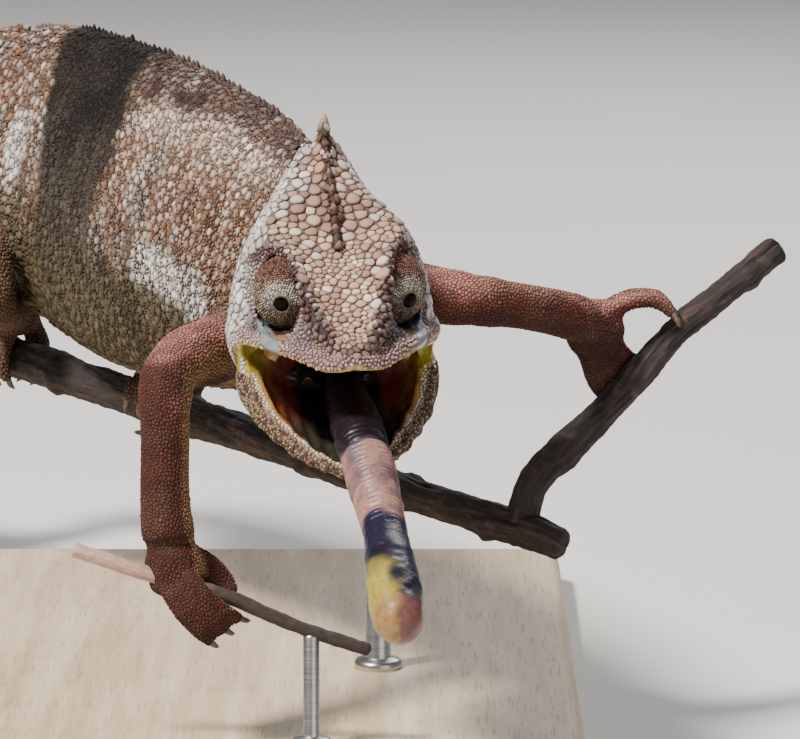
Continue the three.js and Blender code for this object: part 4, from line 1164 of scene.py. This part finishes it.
def skin_recipe(place):
    """The animal's markings, with painted shade where the skin shows in the furrows between scales, wet
    inside the mouth.
    """
    wet = level_of(place, "wet")
    grain = place.cells(0.5)
    # Painted shade: outside the mouth the skin, which shows only between the scales, is darkened.
    dark = painted(place).tinted(rgba("2c1e19"), (1 - wet) * 0.7)
    cloud = place.noise(1.2)
    colour = dark.tinted(rgba("1c100c"), (1 - cloud.between(0.3, 0.6)) * 0.35)
    roughness = 0.75 - wet * 0.5
    return colour, roughness, grain * 0.12 + place.noise(1.6) * 0.3, wet * 0.7


def scale_recipe(place):
    """The markings again, with painted shade darkening each scale towards its sunk edge, and fine pitting."""
    level = level_of(place, "level")
    fine = place.noise(0.35)
    # Painted shade: darker where a scale's level is low, by its sunk edge against its neighbours.
    colour = painted(place).tinted(rgba("241814"), (1 - level.between(0.15, 0.9)) * 0.85)
    colour = colour.tinted(rgba("f2e6dc"), fine.between(0.5, 0.8) * 0.03)
    roughness = 0.7 - fine.between(0.3, 0.8) * 0.16
    return colour, roughness, fine * 0.05


def horn_recipe(place):
    """Brown claw horn, clouded and slightly worn."""
    cloud = place.noise(0.8)
    return cloud.ramp((0.3, "2a1f19"), (0.7, "6b5646")), 0.35 + cloud * 0.2, cloud * 0.08


def eye_recipe(place):
    """A near-black glossy ball, faintly clouded with brown."""
    cloud = place.noise(0.8)
    return cloud.ramp((0.35, "050404"), (0.8, "1d1410")), 0.05, 0.0


def tongue_recipe(place):
    """Wet flesh in the colours kept along it, darker in small clouds."""
    cloud = place.noise(1.1)
    colour = painted(place).tinted(rgba("2a1a2c"), (1 - cloud.between(0.3, 0.55)) * 0.35)
    return colour, 0.26 + cloud * 0.2, cloud * 0.14 + place.noise(0.4) * 0.06


def bark_recipe(place):
    """Dark brown bark: long pale ridges, near-black clefts and grey lichen dust."""
    long = painted(place, "grain")
    streaks = long.noise(1.0, 5.0, 0.65)
    dust = place.noise(5)
    colour = streaks.ramp((0.32, "0f0b0a"), (0.54, "2a1f1b"), (0.78, "5f473e"))
    colour = colour.tinted(rgba("7d6258"), dust.between(0.58, 0.75) * 0.4)
    return colour, 0.7 + streaks * 0.2, streaks * 0.7 + place.noise(0.5) * 0.15


def twig_recipe(place):
    """A thin stem with painted light and shadow along it: pinkish tan at its lit end and near black at its
    shaded end, with fine long lines.
    """
    long = painted(place, "grain")
    lines = long.noise(0.6, 4.0, 0.6)
    share = level_of(place, "share")
    # Painted light and shadow: pale pinkish tan where the twig is lit, near black where it lies in shadow.
    colour = share.ramp((0.0, "c9a596"), (0.3, "b08c7c"), (0.48, "3a2c24"), (1.0, "2d211b"))
    colour = colour.tinted(rgba("2a1d18"), (1 - lines.between(0.3, 0.55)) * 0.5)
    return colour, 0.6 + lines * 0.2, lines * 0.3


def wood_recipe(place):
    """Pale limed oak: long grain, fine pores and a soft sealed finish."""
    rings = place.scaled(1, 0.08, 1).noise(5, 4.0, 0.6)
    pores = place.scaled(1, 0.04, 1).noise(0.5, 2.0, 0.7)
    colour = rings.ramp((0.3, "b79f80"), (0.55, "cdb898"), (0.75, "dccbb0"))
    colour = colour.tinted(rgba("8f785c"), (1 - pores.between(0.3, 0.42)) * 0.5)
    return colour, 0.42 + rings * 0.15, rings * 0.05 - (1 - pores.between(0.3, 0.42)) * 0.06


def steel_recipe(place):
    """Brushed steel, its lines running round the rod."""
    lines = place.scaled(0.02, 0.02, 1).noise(0.25, 3.0, 0.6)
    return lines.ramp((0.3, "a8a6a2"), (0.7, "cfcdc9")), 0.24 + lines * 0.16, lines * 0.02


def dress(made, finish, slot=None, *nodes):
    """The piece gets its finish, rides on the one body and stands for its nodes."""
    made.data.materials.append(finish)
    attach(made, "root")
    if nodes:
        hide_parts(*nodes)
    return made


# ---------------------------------------------------------------- the pieces
def gaze_frame(side):
    """Three axes in the frame of the whole: an eye's line of sight, across it and over it."""
    ahead = HEAD_TURN @ gaze(side)
    across = unit(np.cross(ahead, (0, 0, 1)))
    return ahead, across, np.cross(across, ahead)


def round_sight(side, centre, angles, reaches, turns):
    """Places round a centre on the line of sight: by angle from it, distance from the centre and turn."""
    ahead, across, top = gaze_frame(side)
    a, r, t = np.broadcast_arrays(angles, reaches, turns)
    ring = across * np.cos(t)[..., None] + top * np.sin(t)[..., None]
    return centre + r[..., None] * (ahead * np.cos(a)[..., None] + ring * np.sin(a)[..., None])


def kept_outside(points, side):
    """Places no nearer the head's middle than the turret's inner side, and drawn in by three tenths
    towards the eye's centre where they are high and near the middle, under the brow."""
    h = to_head(points)
    h[..., 0] = SIDES[side] * np.maximum(h[..., 0] * SIDES[side], TURRET["inner_side"])
    hidden = smooth(9.0, 7.2, np.abs(h[..., 0])) * smooth(0.5, 3, h[..., 2])
    from_eye = h - eye_in_head(side)
    return from_head(eye_in_head(side) + from_eye * (1 - 0.3 * hidden)[..., None])


LID_STEPS = 60
LID_TURNS = 96


def lid_colour(points, side):
    """Rust brown above, pale beside the pupil and olive tan below, with a tan rim to the opening."""
    from_eye = points - eye_centre(side)
    height = (from_eye @ HEAD_TURN)[:, 2]
    ahead = gaze_frame(side)[0]
    away = np.degrees(np.arccos(np.clip(unit(from_eye) @ ahead, -1, 1)))
    return layered(LID_PAINT, len(points),
                   rust=smooth(0.5, 4.2, height + 0.6 * noise(points, 2, 71)),
                   olive=smooth(-2.2, -4.5, height),
                   pale=smooth(46, 26, away) * smooth(-2.6, -0.5, height) * 0.9,
                   rim=smooth(17, 14, away) * 0.9)


def make_lids(side, finish):
    """The lidded cone: at angle a from the line of sight its reach is the turret's radius with fine
    rings and a raised ring by the opening, drawn in at the opening's edge to a thin lip and closed
    behind."""
    radius = TURRET["radius"]
    opening = math.asin(TURRET["lids"] / radius)
    angles = np.concatenate([[opening, opening * 0.99, opening], np.linspace(opening * 1.1, 2.2, LID_STEPS)])
    reach = radius - 0.22 + 0.1 * np.cos(angles * FULL_TURN / TURRET["ring"] * radius)
    reach = reach + 0.3 * bell(angles - opening * 1.13, 0.045)
    reach[:3] = np.array([-1.5, -0.7, 0.02]) + radius
    turns = evenly_round(LID_TURNS)[None]
    places = round_sight(side, eye_centre(side), angles[:, None], reach[:, None], turns)
    places = kept_outside(places, side).reshape(-1, 3)
    points = np.concatenate([places, [places[:LID_TURNS].mean(0), places[-LID_TURNS:].mean(0)]])
    made = put_in("lids_" + side, points, outward(points, tube_faces(len(angles), LID_TURNS)),
                  markings=lid_colour(points, side), wet=np.zeros(len(points)))
    return dress(made, finish, "eyelid", "eye_turret_" + side)


def make_lid_beads(side, finish, unwrap):
    """Granules in rings round the line of sight, on the part of the turret outside its socket."""
    ring, radius = TURRET["ring"], TURRET["radius"]
    first = math.asin((TURRET["lids"] + 0.42) / radius)
    roots = []
    for number, angle in enumerate(np.arange(first, 1.95, ring * 0.9 / radius)):
        around = max(8, round(FULL_TURN * radius * math.sin(angle) / (ring * 1.02)))
        turns = (np.arange(around) + 0.5 * (number % 2)) / around * FULL_TURN
        roots.append(round_sight(side, eye_centre(side), angle, radius - 0.2, turns))
    roots = np.concatenate(roots)
    roots = kept_outside(roots[np.abs(to_head(roots)[:, 0]) > 7.6], side)
    tops = unit(roots - eye_centre(side))
    random = np.random.default_rng(5)
    roots = roots + random.normal(0, 0.05, roots.shape)
    return make_coat("lid_beads_" + side, roots, tops, np.full(len(roots), ring), LID_BEAD, finish, unwrap,
                     lid_colour(roots, side), random, flecks=0.3)


def make_eyeball(side, finish):
    """A clear round ball: a grid of angles from the line of sight and turns about it."""
    rows, columns = 24, 48
    low, high = box_of("eyeball_" + side)
    centre, radius = (low + high) / 2, float((high - low).max() / 2)
    angles = np.linspace(0, math.pi, rows + 2)[1:-1]
    places = round_sight(side, centre, angles[:, None], radius, evenly_round(columns)[None])
    poles = round_sight(side, centre, np.array([0, math.pi]), radius, 0)
    points = np.concatenate([places.reshape(-1, 3), poles])
    faces = outward(points, tube_faces(rows, columns))
    return dress(put_in("eye_" + side, points, faces), finish, "eye", "eyeball_" + side)


def make_coat(name, roots, tops, sizes, grain, finish, unwrap, colour, random, flecks=0.0):
    """A joined mesh of scales of one grain. Each one keeps the markings at its root, a little lighter or
    darker than its neighbours, and its patch of the unwrap."""
    shade = np.exp(random.normal(0, 0.17, len(roots)))
    dark = random.random(len(roots)) < flecks
    colour = np.clip(colour * shade[:, None], 0, 1)
    colour[dark] *= 0.35
    spin = unit(random.normal(0, 1, (len(roots), 3)))
    heights = sizes * grain["rise"] * np.exp(random.normal(0, 0.12, len(roots)))
    sides, profile = grain["sides"], grain["profile"]
    points, faces, scale, flat = plates(roots, tops, sizes, heights, sides, profile, spin, grain["corners"])
    # The level also sets the painted shade that the scales' material lays by each sunk edge.
    level = levels_of(len(roots), sides, [max(high, 0) for _, high in profile])
    uv = unwrap(roots)[scale] + PATCH / 2 * flat
    return dress(put_in(name, points, faces, uv=uv, markings=colour[scale], level=level), finish)


def tongue_relief(run, turn, places):
    """Rings about 1.25 mm apart that fade towards the club, over slow swellings."""
    phase = run * FULL_TURN / 1.25 + 0.7 * np.sin(turn) + noise(places, 4, 80)
    return (0.3 * np.cos(phase) * smooth(66, 55, run) + 0.3 * noise(places, 5, 81)
            + 0.14 * noise(places, 1.5, 82))


def tongue_colours(points, share, turn):
    """Violet black in the throat, ringed pinkish tan with a violet streak, dark blue violet behind
    the club, and an olive yellow pad on the club's lower right."""
    s = share + 0.02 * noise(points, 3, 83)
    run = share * TONGUE_LENGTH
    rings = noise(np.stack([run / 1.4, 0 * run, 0 * run], 1), 1, 87)
    off_streak = np.angle(np.exp(1j * (turn - 1.5 - 0.8 * np.sin(s * 9))))
    pad = smooth(0.8, 0.86, s) * smooth(-0.3, 0.4, np.cos(turn) + 0.4 * noise(points, 3, 86))
    return layered(
        TONGUE_PAINT, len(points),
        violet=smooth(-0.1, 0.6, noise(points, 2.2, 84)) * 0.6,
        rings=smooth(-0.2, 0.8, rings) * 0.5,
        streak=bell(off_streak, 0.45) * smooth(0.6, 0.42, s) * 0.8,
        root=smooth(0.445, 0.425, s),
        club=smooth(0.645, 0.68, s),
        club_dark=smooth(0.66, 0.75, s) * smooth(-0.3, 0.5, noise(points, 4, 85)) * 0.8,
        pad=pad * 0.9,
        tip=smooth(0.9, 0.96, s) * 0.6)


def make_tongue(finish):
    """The tongue from its root to its club, a tube along its line with rings and folds."""
    points, faces, share, turn = swept(TONGUE_LINE, np.array(TONGUE_RADII) - 0.25, rows=260, columns=72,
                                       relief=tongue_relief, ends=(1.5, 4.5))
    made = put_in("tongue", points, faces, markings=tongue_colours(points, share, turn))
    return dress(made, finish, "tongue", "tongue_root", "tongue_shaft", "tongue_club")


KNOBS_AT = (17, 38, 66, 101, 142, 190, 224)


def bark_relief(run, turn, places):
    """Long ridges along the wood, a few swollen nodes, and fine roughness."""
    unrolled = np.stack([run / 5, np.cos(turn) * 3.5, np.sin(turn) * 3.5], -1)
    knobs = sum(0.75 * bell(run - at, 1.8) * (1 + np.cos(turn - at)) / 2 for at in KNOBS_AT)
    return 0.5 * rough(unrolled, 1.6, 91) + knobs + 0.12 * noise(places, 0.9, 95) - 0.15


def make_branch(name, node, slot, line, radii, finish, **options):
    """A length of wood swept along its line. It keeps how far along each point is, and places for a
    grain that runs along it, drawn out to about eight times as long as it is wide."""
    points, faces, share, turn = swept(line, radii, **options)
    steps = np.diff(along(line, np.linspace(0, len(line) - 1, 40)), axis=0)
    run = share * np.linalg.norm(steps, axis=1).sum()
    grain = np.stack([run * 0.12, np.cos(turn) * 3, np.sin(turn) * 3], 1) * MM
    made = put_in(name, points, faces, share=share, grain=grain)
    return dress(made, finish, slot, node)


def moulded(outline, profile):
    """A closed slab: each (inset, height) of the profile is the outline drawn in by the inset."""
    middle = outline.mean(0)
    turns = unit(outline - middle)
    rings = [np.column_stack([outline - turns * inset, np.full(len(outline), height)])
             for inset, height in profile]
    points = np.concatenate([*rings, [[*middle, profile[0][1]], [*middle, profile[-1][1]]]])
    return points, outward(points, tube_faces(len(rings), len(outline)))


def rounded_rectangle(low, high, corner, steps=10):
    """Points round a rectangle whose corners are quarter circles."""
    centres = [(high[0], high[1]), (low[0], high[1]), (low[0], low[1]), (high[0], low[1])]
    signs = [(-1, -1), (1, -1), (1, 1), (-1, 1)]
    quarter = np.linspace(0, math.pi / 2, steps)
    return np.concatenate([np.stack([cx + sx * corner + corner * np.cos(quarter + k * math.pi / 2),
                                     cy + sy * corner + corner * np.sin(quarter + k * math.pi / 2)], 1)
                           for k, ((cx, cy), (sx, sy)) in enumerate(zip(centres, signs))])


def make_stand(wood, steel):
    """The base, a slab with a moulded edge, and a rod with a collar under each branch."""
    low, high = box_of("stand_base")
    edge = [(2.0, 0.0), (0.6, 0.4), (0, 1.4), (0, 5.2), (0.5, 6.4), (1.6, 7.3), (3.2, 7.8), (5.2, 8.0)]
    profile = [(inset, low[2] + height / 8 * (high[2] - low[2])) for inset, height in edge]
    slab = moulded(rounded_rectangle(low[:2], high[:2], 6), profile)
    dress(put_in("base", *slab), wood, "base", "stand_base")
    turn = evenly_round(48)
    for name in ("branch", "twig"):
        bottom, top = box_of("stand_rod_" + name)
        centre, radius = (bottom + top)[:2] / 2, (top - bottom)[0] / 2
        circle = centre + radius * np.stack([np.cos(turn), np.sin(turn)], 1)
        collar = [(0, bottom[2]), (-2.2, high[2] - 0.3), (-2.2, high[2] + 1.2), (-1.7, high[2] + 1.8),
                  (-0.05, high[2] + 2.1), (0, high[2] + 2.2), (0, top[2] - 0.6), (0.5, top[2])]
        dress(put_in("rod_" + name, *moulded(circle, collar)), steel, "rod", "stand_rod_" + name)


def seated(points, skin):
    """A claw's points with its base stretched into the skin, most where it is nearest to it."""
    nearest = [skin.find_nearest(Vector(point)) for point in points]
    away = np.array([found[3] for found in nearest])
    first = away.argmin()
    inward = unit(np.array(nearest[first][0]) - points[first])
    return points + CLAW_ROOT * inward * smooth(away[first] + 1.1, away[first] + 0.2, away)[:, None]


def make_claws(points, faces, finish):
    """Every claw's node made smooth and seated in its toe, as one mesh."""
    skin = tree_of(points, faces)
    names = sorted(n for n in NODES if "_claw_" in n)
    smoothed = [with_modifier(*solid_of(n), "SUBSURF", levels=2, render_levels=2) for n in names]
    claws = [(seated(claw, skin), claw_faces) for claw, claw_faces in smoothed]
    return dress(put_in("claws", *joined(claws)), finish, "claw", *names)


def dropped(tree, places, up):
    """Where lines straight down from above the places meet the skin; up is a unit vector."""
    hits = [tree.ray_cast(Vector(place + 9 * up), Vector(-up))[0] for place in places]
    return np.array([place if hit is None else np.array(hit) for place, hit in zip(places, hits)])


def make_spines(points, faces, finish, unwrap):
    """The crest, cones that lean back a little: a row along the back, lower towards the hips, a row of
    small ones up the casque, every fourth one paler, and one larger at the casque's tip."""
    random = np.random.default_rng(17)
    skin = tree_of(points, faces)
    t = np.linspace(0.8, 8.7, 96)
    feet = dropped(skin, along(BACK_LINE, t) + BASE_MIDDLE, np.array([0, 0, 1.0])) - (0, 0, 0.35)
    share = (t - t[0]) / (t[-1] - t[0])
    tall = (1.9 - 0.5 * share) * random.uniform(0.75, 1.25, len(t))
    wide = (0.85 - 0.2 * share) * random.uniform(0.85, 1.1, len(t))
    y = np.append(np.linspace(0.2, 22.4, 27), 23.4)
    up = HEAD_TURN[:, 2]
    crest = dropped(skin, from_head(np.stack([0 * y, y, read(CROWN, "z", y)], 1)), up) - 0.35 * up
    crest[-1] = from_head(np.array((0, y[-1], 26.0)))
    crest_tall = np.linspace(1.9, 1.1, len(y) - 1) * random.uniform(0.85, 1.1, len(y) - 1)
    roots = np.concatenate([feet, crest])
    heights = np.concatenate([tall, crest_tall, [3.6]])
    widths = np.concatenate([wide, np.linspace(1.05, 0.4, len(y) - 1), [1.3]])
    tops = unit(np.tile((0, 0.35, 1.0), (len(roots), 1)) + random.normal(0, 0.1, (len(roots), 3)))
    across = unit(np.cross(tops, (0, 1, 0.1)))
    sides = 8
    spokes = spokes_of(across, 1.25 * np.cross(tops, across), evenly_round(sides)) * widths[:, None, None]
    points, faces, number, flat = raised(roots, tops, spokes, heights, CONE_PROFILE)
    colour = torso_markings(roots) * 0.85
    paler = (np.arange(len(y)) % 4 == 0)[:, None]
    colour[len(t):] = np.where(paler, tone(CREST_PAINT["pale"]), tone(CREST_PAINT["dark"]))
    colour[-1] = tone(CREST_PAINT["tip"])
    uv = unwrap(roots)[number] + PATCH / 2 * flat
    # The levels also set the painted shade at each cone's foot.
    level = levels_of(len(roots), sides, [0.3, 0.5, 0.8, 1])
    return dress(put_in("spines", points, faces, uv=uv, markings=colour[number], level=level), finish)


# How much larger a tubercle is than the scales round it, and how many scales apart two of them are.
LARGER = {"head": 1.45, "torso": 1.6, "tail": 1.4, "limb": 1.3, "foot": 1.2}
APART = {"head": 1.9, "torso": 2.9, "tail": 2.6, "limb": 3, "foot": 3}
# Where the coat of the trunk is cut into pieces, from the stand's middle.
MIDDLE, HIPS = 12, 34
CUTS = {"neck": (-math.inf, -32), "shoulder": (-32, -10), "flank": (-10, MIDDLE), "loin": (MIDDLE, HIPS),
        "hip": (HIPS, 60), "rump": (60, math.inf)}


def scale_colours(places, tops, regions, is_big, random):
    """The markings at each scale. On the trunk many tubercles and a few small scales are whiter, the
    more so above, and half of the small scales browner; the head's plates vary from whitish to brown,
    and the jaw's rim is flecked with dark maroon."""
    colour = markings(places, tops, regions)
    pick = random.random(len(places))
    light = smooth(0.03, 0.14, colour.mean(1))
    torso, head = regions == REGION["torso"], regions == REGION["head"]
    _, down, _ = on_body(places)
    pale = smooth(44, 26, down + 5 * noise(places, 8, 71))
    pale = pale * (0.35 + 0.65 * smooth(-0.3, 0.4, noise(places, 7, 72)))
    white = np.where(torso & is_big & (pick < 0.7), 0.25 + 0.5 * pick, 0)
    white = white + np.where(torso & ~is_big & (pick < 0.14), 0.45, 0)
    behind = to_head(places)[:, 1] > -17
    q = head_to_jaw(to_head(places))
    within = read(RIM, "x", q[:, 1]) - np.abs(q[:, 0])
    shares = {
        "white": white * light * (0.25 + 0.75 * pale),
        "brown": np.where(torso & ~is_big & (pick > 0.5), 0.45, 0) * light,
        "head_pale": np.where(head & behind & (pick < 0.22), 0.4, 0),
        "head_brown": np.where(head & (pick > 0.75), 0.4, 0),
        "jaw_fleck": np.where((regions == REGION["jaw"]) & (pick < 0.42) & (within < 1.0), 0.9, 0),
    }
    for name, share in shares.items():
        colour = mixed(colour, tone(SCALE_PAINT[name]), share)
    return colour


def bare_places(h, places, tops, regions):
    """Where the skin has no scales: in the mouth, at the casque's tip, in the sockets and under the eyes."""
    bare = (inside_mouth(places, tops, regions) >= 0.15) | (regions == REGION["lining"])
    bare |= (np.abs(h[:, 0]) < 1.2) & (h[:, 1] > 21) & (h[:, 2] > 25.4)
    for side, sign in SIDES.items():
        reach, _ = orbit_reach(h, side)
        away, facing = seen_from_eye(places, tops, side)
        oval = (reach < 1.02) & (h[:, 0] * sign > 5) & (h[:, 1] < 6) & (facing < 0.1)
        hollow = oval | (away < SOCKET["bare"]) & (facing < -0.4)
        bare |= (regions == REGION["head"]) & (hollow | (under_eye(h, side) > 0.5))
    return bare


def make_scales(points, faces, normals, kind, finish, unwrap):
    """The coat over the whole skin: places scattered by size, larger tubercles first, cut into pieces."""
    spacing = scale_size(points, kind)
    places, tops, sizes, random = candidates(points, faces, normals, spacing, crowd=8, seed=3)
    regions = region_of(places)
    h = to_head(places)
    y = h[:, 1]
    on_head = regions == REGION["head"]
    off_ridge = np.hypot(np.abs(h[:, 0]) - read(RIDGE, "x", y), h[:, 2] - read(RIDGE, "z", y))
    boss = on_head & (off_ridge < 1.6) & (y < -9.5) & (y > -23)
    over_lip = ~on_head | (h[:, 2] - read(LIP, "z", y) > 0.35) | (y > 4)
    keep = ~bare_places(h, places, tops, regions) & (sizes > 0.5) & over_lip
    sizes = np.where(boss, BOSS_SIZE, sizes)
    places, tops, sizes, regions, boss = (a[keep] for a in (places, tops, sizes, regions, boss))
    large, gap = by_region(LARGER, regions, 1), by_region(APART, regions, 1)
    order = random.permutation(len(places))
    able = (large > 1.05) & (boss | (regions != REGION["head"]) | (sizes > 1.1))
    chosen = np.nonzero(able & (random.random(len(places)) < 0.35))[0]
    spread = np.where(boss, sizes, sizes * gap)
    big = chosen[spread_out(places[chosen], spread[chosen], random.permutation(len(chosen)))]
    sizes[big] *= np.where(boss, 1, large * random.uniform(0.8, 1.15, len(places)))[big]
    kept = spread_out(places, sizes, np.concatenate([big, order[~np.isin(order, big)]]))
    is_big = np.isin(kept, big)
    places, tops, sizes, regions, boss = (a[kept] for a in (places, tops, sizes, regions, boss))
    colour = scale_colours(places, tops, regions, is_big, random)
    y = (places - BASE_MIDDLE)[:, 1]
    torso, head, limb = (regions == REGION[name] for name in ("torso", "head", "limb"))
    plate = head & (sizes > PLATE_FROM) & ~boss
    trunk = {name + "_scales": (torso & ~is_big & (y >= low) & (y < high),
                                HIND_SCALE if low >= HIPS else TRUNK_SCALE)
             for name, (low, high) in CUTS.items()}
    parts = {
        "head_plates": (plate, HEAD_PLATE),
        "head_bosses": (boss, HEAD_BOSS),
        "head_beads": (head & ~plate & ~boss, HEAD_BEAD),
        "jaw_scales": (regions == REGION["jaw"], JAW_SCALE),
        **trunk,
        "front_tubercles": (torso & is_big & (y < MIDDLE), TUBERCLE),
        "rear_tubercles": (torso & is_big & (y >= MIDDLE), TUBERCLE),
        "tail_scales": (regions == REGION["tail"], TAIL_SCALE),
        "foreleg_scales": (limb & (y < BETWEEN_LEGS), ARM_SCALE),
        "hindleg_scales": (limb & (y >= BETWEEN_LEGS), FOOT_SCALE),
        "foot_scales": (regions == REGION["foot"], FOOT_SCALE),
    }
    for name, (here, grain) in parts.items():
        make_coat(name, places[here], tops[here], sizes[here], grain, finish, unwrap, colour[here], random)


# ---------------------------------------------------------------- floor, light and camera
CAMERA = {"at": (40.416, -960.498, 236.55), "down": 10, "lens": 225, "sensor": 36}
# Name, place, watts, size and colour of each lamp; all of them shine on the same place.
LIT_PLACE = (0, -40, 90)
LAMPS = [("key", (-520, -430, 980), 30, 190, (1.0, 0.96, 0.91)),
         ("fill", (700, -1000, 380), 3.2, 900, (0.94, 0.97, 1.0)),
         ("rim", (300, 900, 800), 7, 600, (1, 1, 1))]
SKY = {"colour": (0.9, 0.93, 1.0, 1), "strength": 0.22}


def paper_recipe(place):
    """Plain pale paper, hardly clouded."""
    cloud = place.noise(300)
    return cloud.ramp((0.0, "dcdad5"), (1.0, "e6e4df")), 0.85, place.noise(2) * 0.02


def make_stage():
    """A plain floor, a twentieth of a millimetre below the stand."""
    grid = np.stack([*np.meshgrid(np.linspace(-4000, 4000, 9), np.linspace(-2500, 5500, 9), indexing="ij"),
                     np.full((9, 9), -0.05)], -1).reshape(-1, 3)
    floor = put_in("floor", grid, grid_faces(9, 9, closed=False))
    floor.data.materials.append(material("floor_paper", paper_recipe))


def make_lights():
    """Square lamps turned to the lit place, and an even sky."""
    for name, place, watts, size, colour in LAMPS:
        lamp = bpy.data.lights.new(name, "AREA")
        lamp.energy, lamp.size, lamp.color = watts, size * MM, colour
        made = bpy.data.objects.new(name, lamp)
        bpy.context.scene.collection.objects.link(made)
        made.location = Vector(place) * MM
        made.rotation_euler = (Vector(LIT_PLACE) * MM - made.location).to_track_quat("-Z", "Y").to_euler()
    world = bpy.data.worlds.new("studio")
    bpy.context.scene.world = world
    world.use_nodes = True
    sky = world.node_tree.nodes["Background"].inputs
    sky["Color"].default_value, sky["Strength"].default_value = SKY["colour"], SKY["strength"]


def make_camera():
    """The camera before the animal's face, tipped down at it."""
    camera = bpy.data.cameras.new("camera")
    camera.lens, camera.sensor_width = CAMERA["lens"], CAMERA["sensor"]
    camera.clip_start, camera.clip_end = 0.05, 40
    viewer = bpy.data.objects.new("camera", camera)
    bpy.context.scene.collection.objects.link(viewer)
    viewer.location = Vector(CAMERA["at"]) * MM
    viewer.rotation_euler = (math.radians(90 - CAMERA["down"]), 0, 0)
    bpy.context.scene.camera = viewer


def twig_relief(run, turn, places):
    """A faint roughness, the same all along."""
    return 0.12 * rough(places, 1.5, 97)


def make_flesh(skin_finish, scale_finish):
    """The skin, its coat and its crest. Returns the skin's points, its triangles and its unwrap."""
    points, faces = make_skin()
    normals = normals_of(points, faces)
    kind = region_of(points)
    mouth = inside_mouth(points, normals, kind)
    bare = sum(under_eye(to_head(points), side) for side in SIDES) * (kind == REGION["head"]) * 0.6
    colour = markings(points, normals, kind)
    skin = put_in("skin", points, faces, markings=colour, wet=np.maximum(mouth, bare))
    dress(skin, skin_finish, "skin", *FLESH_NODES)
    unwrap = unwrap_of(points, faces)
    smooth_normals = unit(relaxed(normals, edges_of(faces), 4))
    make_scales(points, faces, smooth_normals, kind, scale_finish, unwrap)
    make_spines(points, faces, scale_finish, unwrap)
    return points, faces, unwrap


def make_wood():
    """The branch, its fork and the twig."""
    bark = material("bark", bark_recipe)
    make_branch("branch", "perch_branch", "bark", BRANCH_LINE, np.linspace(3.4, 4.4, 9), bark,
                rows=520, columns=72, relief=bark_relief, ends=(1.5, 1.5))
    make_branch("fork", "perch_fork", "bark", ARM_LINE, np.linspace(3.3, 2.6, 7), bark,
                rows=220, columns=64, relief=bark_relief, ends=(1.5, 1.5), up=(0, 1, 0))
    make_branch("twig", "perch_twig", "twig", TWIG_LINE, [1.45, 1.4, 1.35, 1.25, 1.2],
                material("twig_bark", twig_recipe), rows=160, columns=40, relief=twig_relief, ends=(0.8, 0.8))


def build():
    """Every piece, each with its finish."""
    skin_finish = material("skin", skin_recipe, specular=0.2)
    scale_finish = material("scales", scale_recipe, specular=0.16)
    points, faces, unwrap = make_flesh(skin_finish, scale_finish)
    eye = material("eye", eye_recipe, specular=0.04)
    for side in SIDES:
        make_lids(side, skin_finish)
        make_lid_beads(side, scale_finish, unwrap)
        make_eyeball(side, eye)
    make_tongue(material("tongue_flesh", tongue_recipe, specular=0.3))
    make_claws(points, faces, material("claw_horn", horn_recipe))
    make_wood()
    make_stand(material("limed_oak", wood_recipe), material("brushed_steel", steel_recipe, metallic=1.0))


build()
make_stage()
make_lights()
make_camera()
